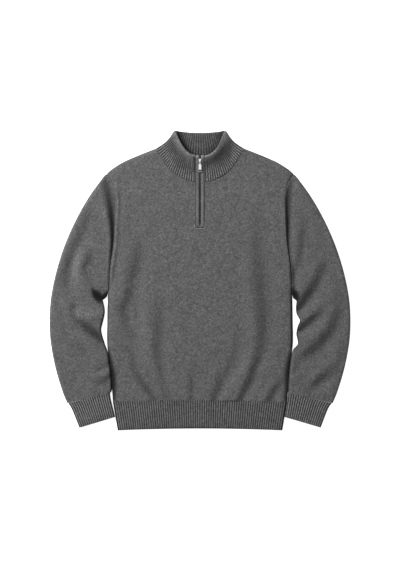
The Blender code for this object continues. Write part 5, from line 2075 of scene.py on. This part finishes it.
@dataclass(frozen=True)
class StitchRow:
    """Row of small linking stitches along a line, with sizes in millimetres and shade the painted shade
    of their knit, paler below 0.
    """

    name: str
    pitch: float = 2.6
    length: float = 2.1
    width: float = 0.85
    rise: float = 0.45
    shade: float = 0.0
    corners: int = 6
    aim: float = 0.5

    def build(self, points: Array, material: bpy.types.Material, slot: str) -> Piece:
        """Build the stitches as one mesh and dress it.

        Args:
            points: Line (x, y, z) on the cloth, in millimetres.
            material: Finish of the yarn.
            slot: Not used.

        Returns:
            The piece.
        """
        steps = np.linalg.norm(np.diff(points, axis=0), axis=1)
        passed = np.concatenate([[0.0], np.cumsum(steps)])
        places = np.arange(self.pitch / 2, passed[-1], self.pitch)
        behind, centre, ahead = (
            np.stack([np.interp(places + lead, passed, points[:, axis]) for axis in range(3)], -1)
            for lead in (-self.aim, 0.0, self.aim))
        heading = ahead - behind
        heading /= np.linalg.norm(heading, axis=1)[:, None]
        over = np.cross(np.array([0.0, 0.0, 1.0]), heading)
        over /= np.linalg.norm(over, axis=1)[:, None]
        upward = np.cross(heading, over)
        centre, heading, over, upward = (row[:, None, None] for row in (centre, heading, over, upward))
        reach, size = (column[:, None, None] for column in np.array(STITCH_SECTIONS).T)
        turn = np.linspace(0.0, 2.0 * math.pi, self.corners, endpoint=False)[:, None]
        sections = (centre + heading * reach * self.length / 2
                    + over * np.cos(turn) * size * self.width / 2
                    + upward * np.sin(turn) * size * self.rise)
        return dress(beads(self.name, sections, self.shade), material)


@dataclass
class Seams:
    """Linking stitches at the neck, the armholes and the hem, and a raised row at the zip's foot."""

    body: BodyPanels
    collar: Collar
    neck_ends: tuple[float, float] = (0.01, 0.985)
    neck_drop: float = 0.012
    neck_rise: float = 0.05
    armhole_margin: float = 6.0
    armhole_inset: float = 1.6
    armhole_sink: float = 0.12
    # Painted shade on the armhole stitches, darker on the wearer's left.
    armhole_shade: dict[Side, float] = field(
        default_factory=lambda: {Side.RIGHT: 0.8, Side.LEFT: 1.3})
    foot_path: Rows = (
        (-12.7, 139.0), (-12.5, 132.0), (-11.0, 129.8), (-8.4, 129.0), (8.4, 129.0),
        (11.4, 129.8), (13.0, 132.2), (13.2, 143.0))
    foot_rise: float = 0.25
    hem_half: float = 212.0
    hem_curve: float = 217.0
    hem_rise: float = 1.6
    hem_sink: float = 0.1

    def build_neck(self, side: Side, yarn: bpy.types.Material) -> Piece:
        """Make the row where the collar is linked to the front.

        Args:
            side: Side of the garment.
            yarn: Finish of the stitches.

        Returns:
            The dressed piece.
        """
        share = np.linspace(*self.neck_ends, 120)
        x, y = self.collar.plan(side, True, share, np.full(share.shape, -self.neck_drop))
        x = side.value * x
        points = grid(x, y, self.body.top(x, y) + self.neck_rise)
        return StitchRow(f"neck_link_{side.label}").build(points, yarn, "plain_knit")

    def build_armhole(self, side: Side, yarn: bpy.types.Material) -> Piece:
        """Make the fine row along an armhole, on the body's side of the seam.

        Args:
            side: Side of the garment.
            yarn: Finish of the stitches.

        Returns:
            The dressed piece.
        """
        y = np.linspace(ARMPIT_Y + self.armhole_margin, SHOULDER_TIP[1] - self.armhole_margin, 120)
        x = side.value * (BODY_SIDE.at(y) - self.armhole_inset)
        points = grid(x, y, self.body.top(x, y) - self.armhole_sink)
        row = StitchRow(f"armhole_link_{side.label}", pitch=2.9, length=2.3, width=0.8, rise=0.35,
                        shade=self.armhole_shade[side])
        return row.build(points, yarn, "plain_knit")

    def build_hem(self, yarn: bpy.types.Material) -> Piece:
        """Make the row above the rib hem.

        Args:
            yarn: Finish of the stitches.

        Returns:
            The dressed piece.
        """
        x = np.linspace(-self.hem_half, self.hem_half, 200)
        y = mix(HEM_SEAM_MIDDLE, HEM_SEAM_SIDE, (x / self.hem_curve) ** 2) + self.hem_rise
        points = grid(x, y, self.body.top(x, y) - self.hem_sink)
        # The hem stitches get a slight painted lightening.
        row = StitchRow("hem_link", pitch=2.9, length=2.2, width=0.8, rise=0.35, shade=-0.1)
        return row.build(points, yarn, "plain_knit")

    def build_foot(self) -> Piece:
        """Make the raised row round the foot of the zip.

        Returns:
            The dressed piece.
        """
        x, y = along(np.array(self.foot_path), np.linspace(0.0, 1.0, 60))
        points = grid(x, y, self.body.top(x, y) + self.foot_rise)
        row = StitchRow("foot_welt", pitch=1.6, length=2.6, width=3.0, rise=1.2)
        return row.build(points, WELT_YARN.build(), "knit_trim")

    def build(self) -> list[Piece]:
        """Build and dress every row.

        Returns:
            The pieces.
        """
        yarn = PLAIN_KNIT.build()
        neck = [self.build_neck(side, yarn) for side in Side]
        armholes = [self.build_armhole(side, yarn) for side in Side]
        return [*neck, *armholes, self.build_hem(yarn), self.build_foot()]


# ---- studio ----


@dataclass(frozen=True)
class Studio:
    """Pale floor, soft light and the camera straight above the garment, in metres and watts."""

    view_width: float = 1.0
    picture: tuple[int, int] = (400, 570)
    camera_height: float = 7.0
    camera_y: float = -0.0113
    camera_reach: float = 100.0
    sensor: float = 36.0
    floor_size: float = 14.0
    floor_drop: float = 0.0004
    sky: float = 0.645
    key_energy: float = 232.0
    key_size: float = 1.7
    key_place: tuple[float, float, float] = (-2.11, 1.68, 1.89)

    def build_camera(self) -> Piece:
        """Set up a long lens that takes in the photograph's frame.

        Returns:
            The camera.
        """
        camera = bpy.data.cameras.new("overhead")
        camera.sensor_width = self.sensor
        view_height = self.view_width * self.picture[1] / self.picture[0]
        camera.lens = self.sensor * self.camera_height / view_height
        camera.clip_end = self.camera_reach
        overhead = bpy.data.objects.new("overhead", camera)
        overhead.location = (0.0, self.camera_y, self.camera_height)
        bpy.context.scene.collection.objects.link(overhead)
        bpy.context.scene.camera = overhead
        return overhead

    def build_floor(self) -> Piece:
        """Make the flat floor just under the garment.

        Returns:
            The floor.
        """
        bpy.ops.mesh.primitive_grid_add(x_subdivisions=4, y_subdivisions=4, size=self.floor_size)
        floor = bpy.context.object
        floor.name = "floor"
        floor.location.z = -self.floor_drop
        floor.data.materials.append(PaleFloor().build())
        return floor

    def build_sky(self) -> None:
        """Light the garment evenly from all round."""
        world = bpy.data.worlds.new("studio_white")
        world.use_nodes = True
        background = world.node_tree.nodes["Background"]
        background.inputs["Color"].default_value = (1.0, 1.0, 1.0, 1.0)
        background.inputs["Strength"].default_value = self.sky
        bpy.context.scene.world = world

    def build_key_light(self) -> Piece:
        """Set a square soft light above and beside the wearer's right shoulder.

        Returns:
            The lamp.
        """
        light = bpy.data.lights.new("key_light", "AREA")
        light.size = self.key_size
        light.energy = self.key_energy
        lamp = bpy.data.objects.new("key_light", light)
        lamp.location = self.key_place
        lamp.rotation_euler = (-Vector(self.key_place)).to_track_quat("-Z", "Y").to_euler()
        bpy.context.scene.collection.objects.link(lamp)
        return lamp

    def build(self) -> list[Piece]:
        """Build the whole studio.

        Returns:
            Its camera, floor and lamp.
        """
        bpy.context.scene.view_settings.view_transform = "Standard"
        camera = self.build_camera()
        floor = self.build_floor()
        self.build_sky()
        return [camera, floor, self.build_key_light()]


def main() -> None:
    """Build every sub-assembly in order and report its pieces."""
    logging.basicConfig(level=logging.INFO, format="%(name)s %(message)s")
    body = BodyPanels()
    collar = Collar()
    tubes = [tube for side in Side for tube in (Sleeve(side), Cuff(side))]
    assemblies = (Studio(), body, *tubes, HemBand(), collar, ZipFastener(body, collar),
                  Seams(body, collar))
    for assembly in assemblies:
        for piece in assembly.build():
            size = f"{len(piece.data.polygons)} faces" if piece.type == "MESH" else piece.type.lower()
            LOG.info("%s: %s, %s", type(assembly).__name__, piece.name, size)


if __name__ == "__main__":
    main()
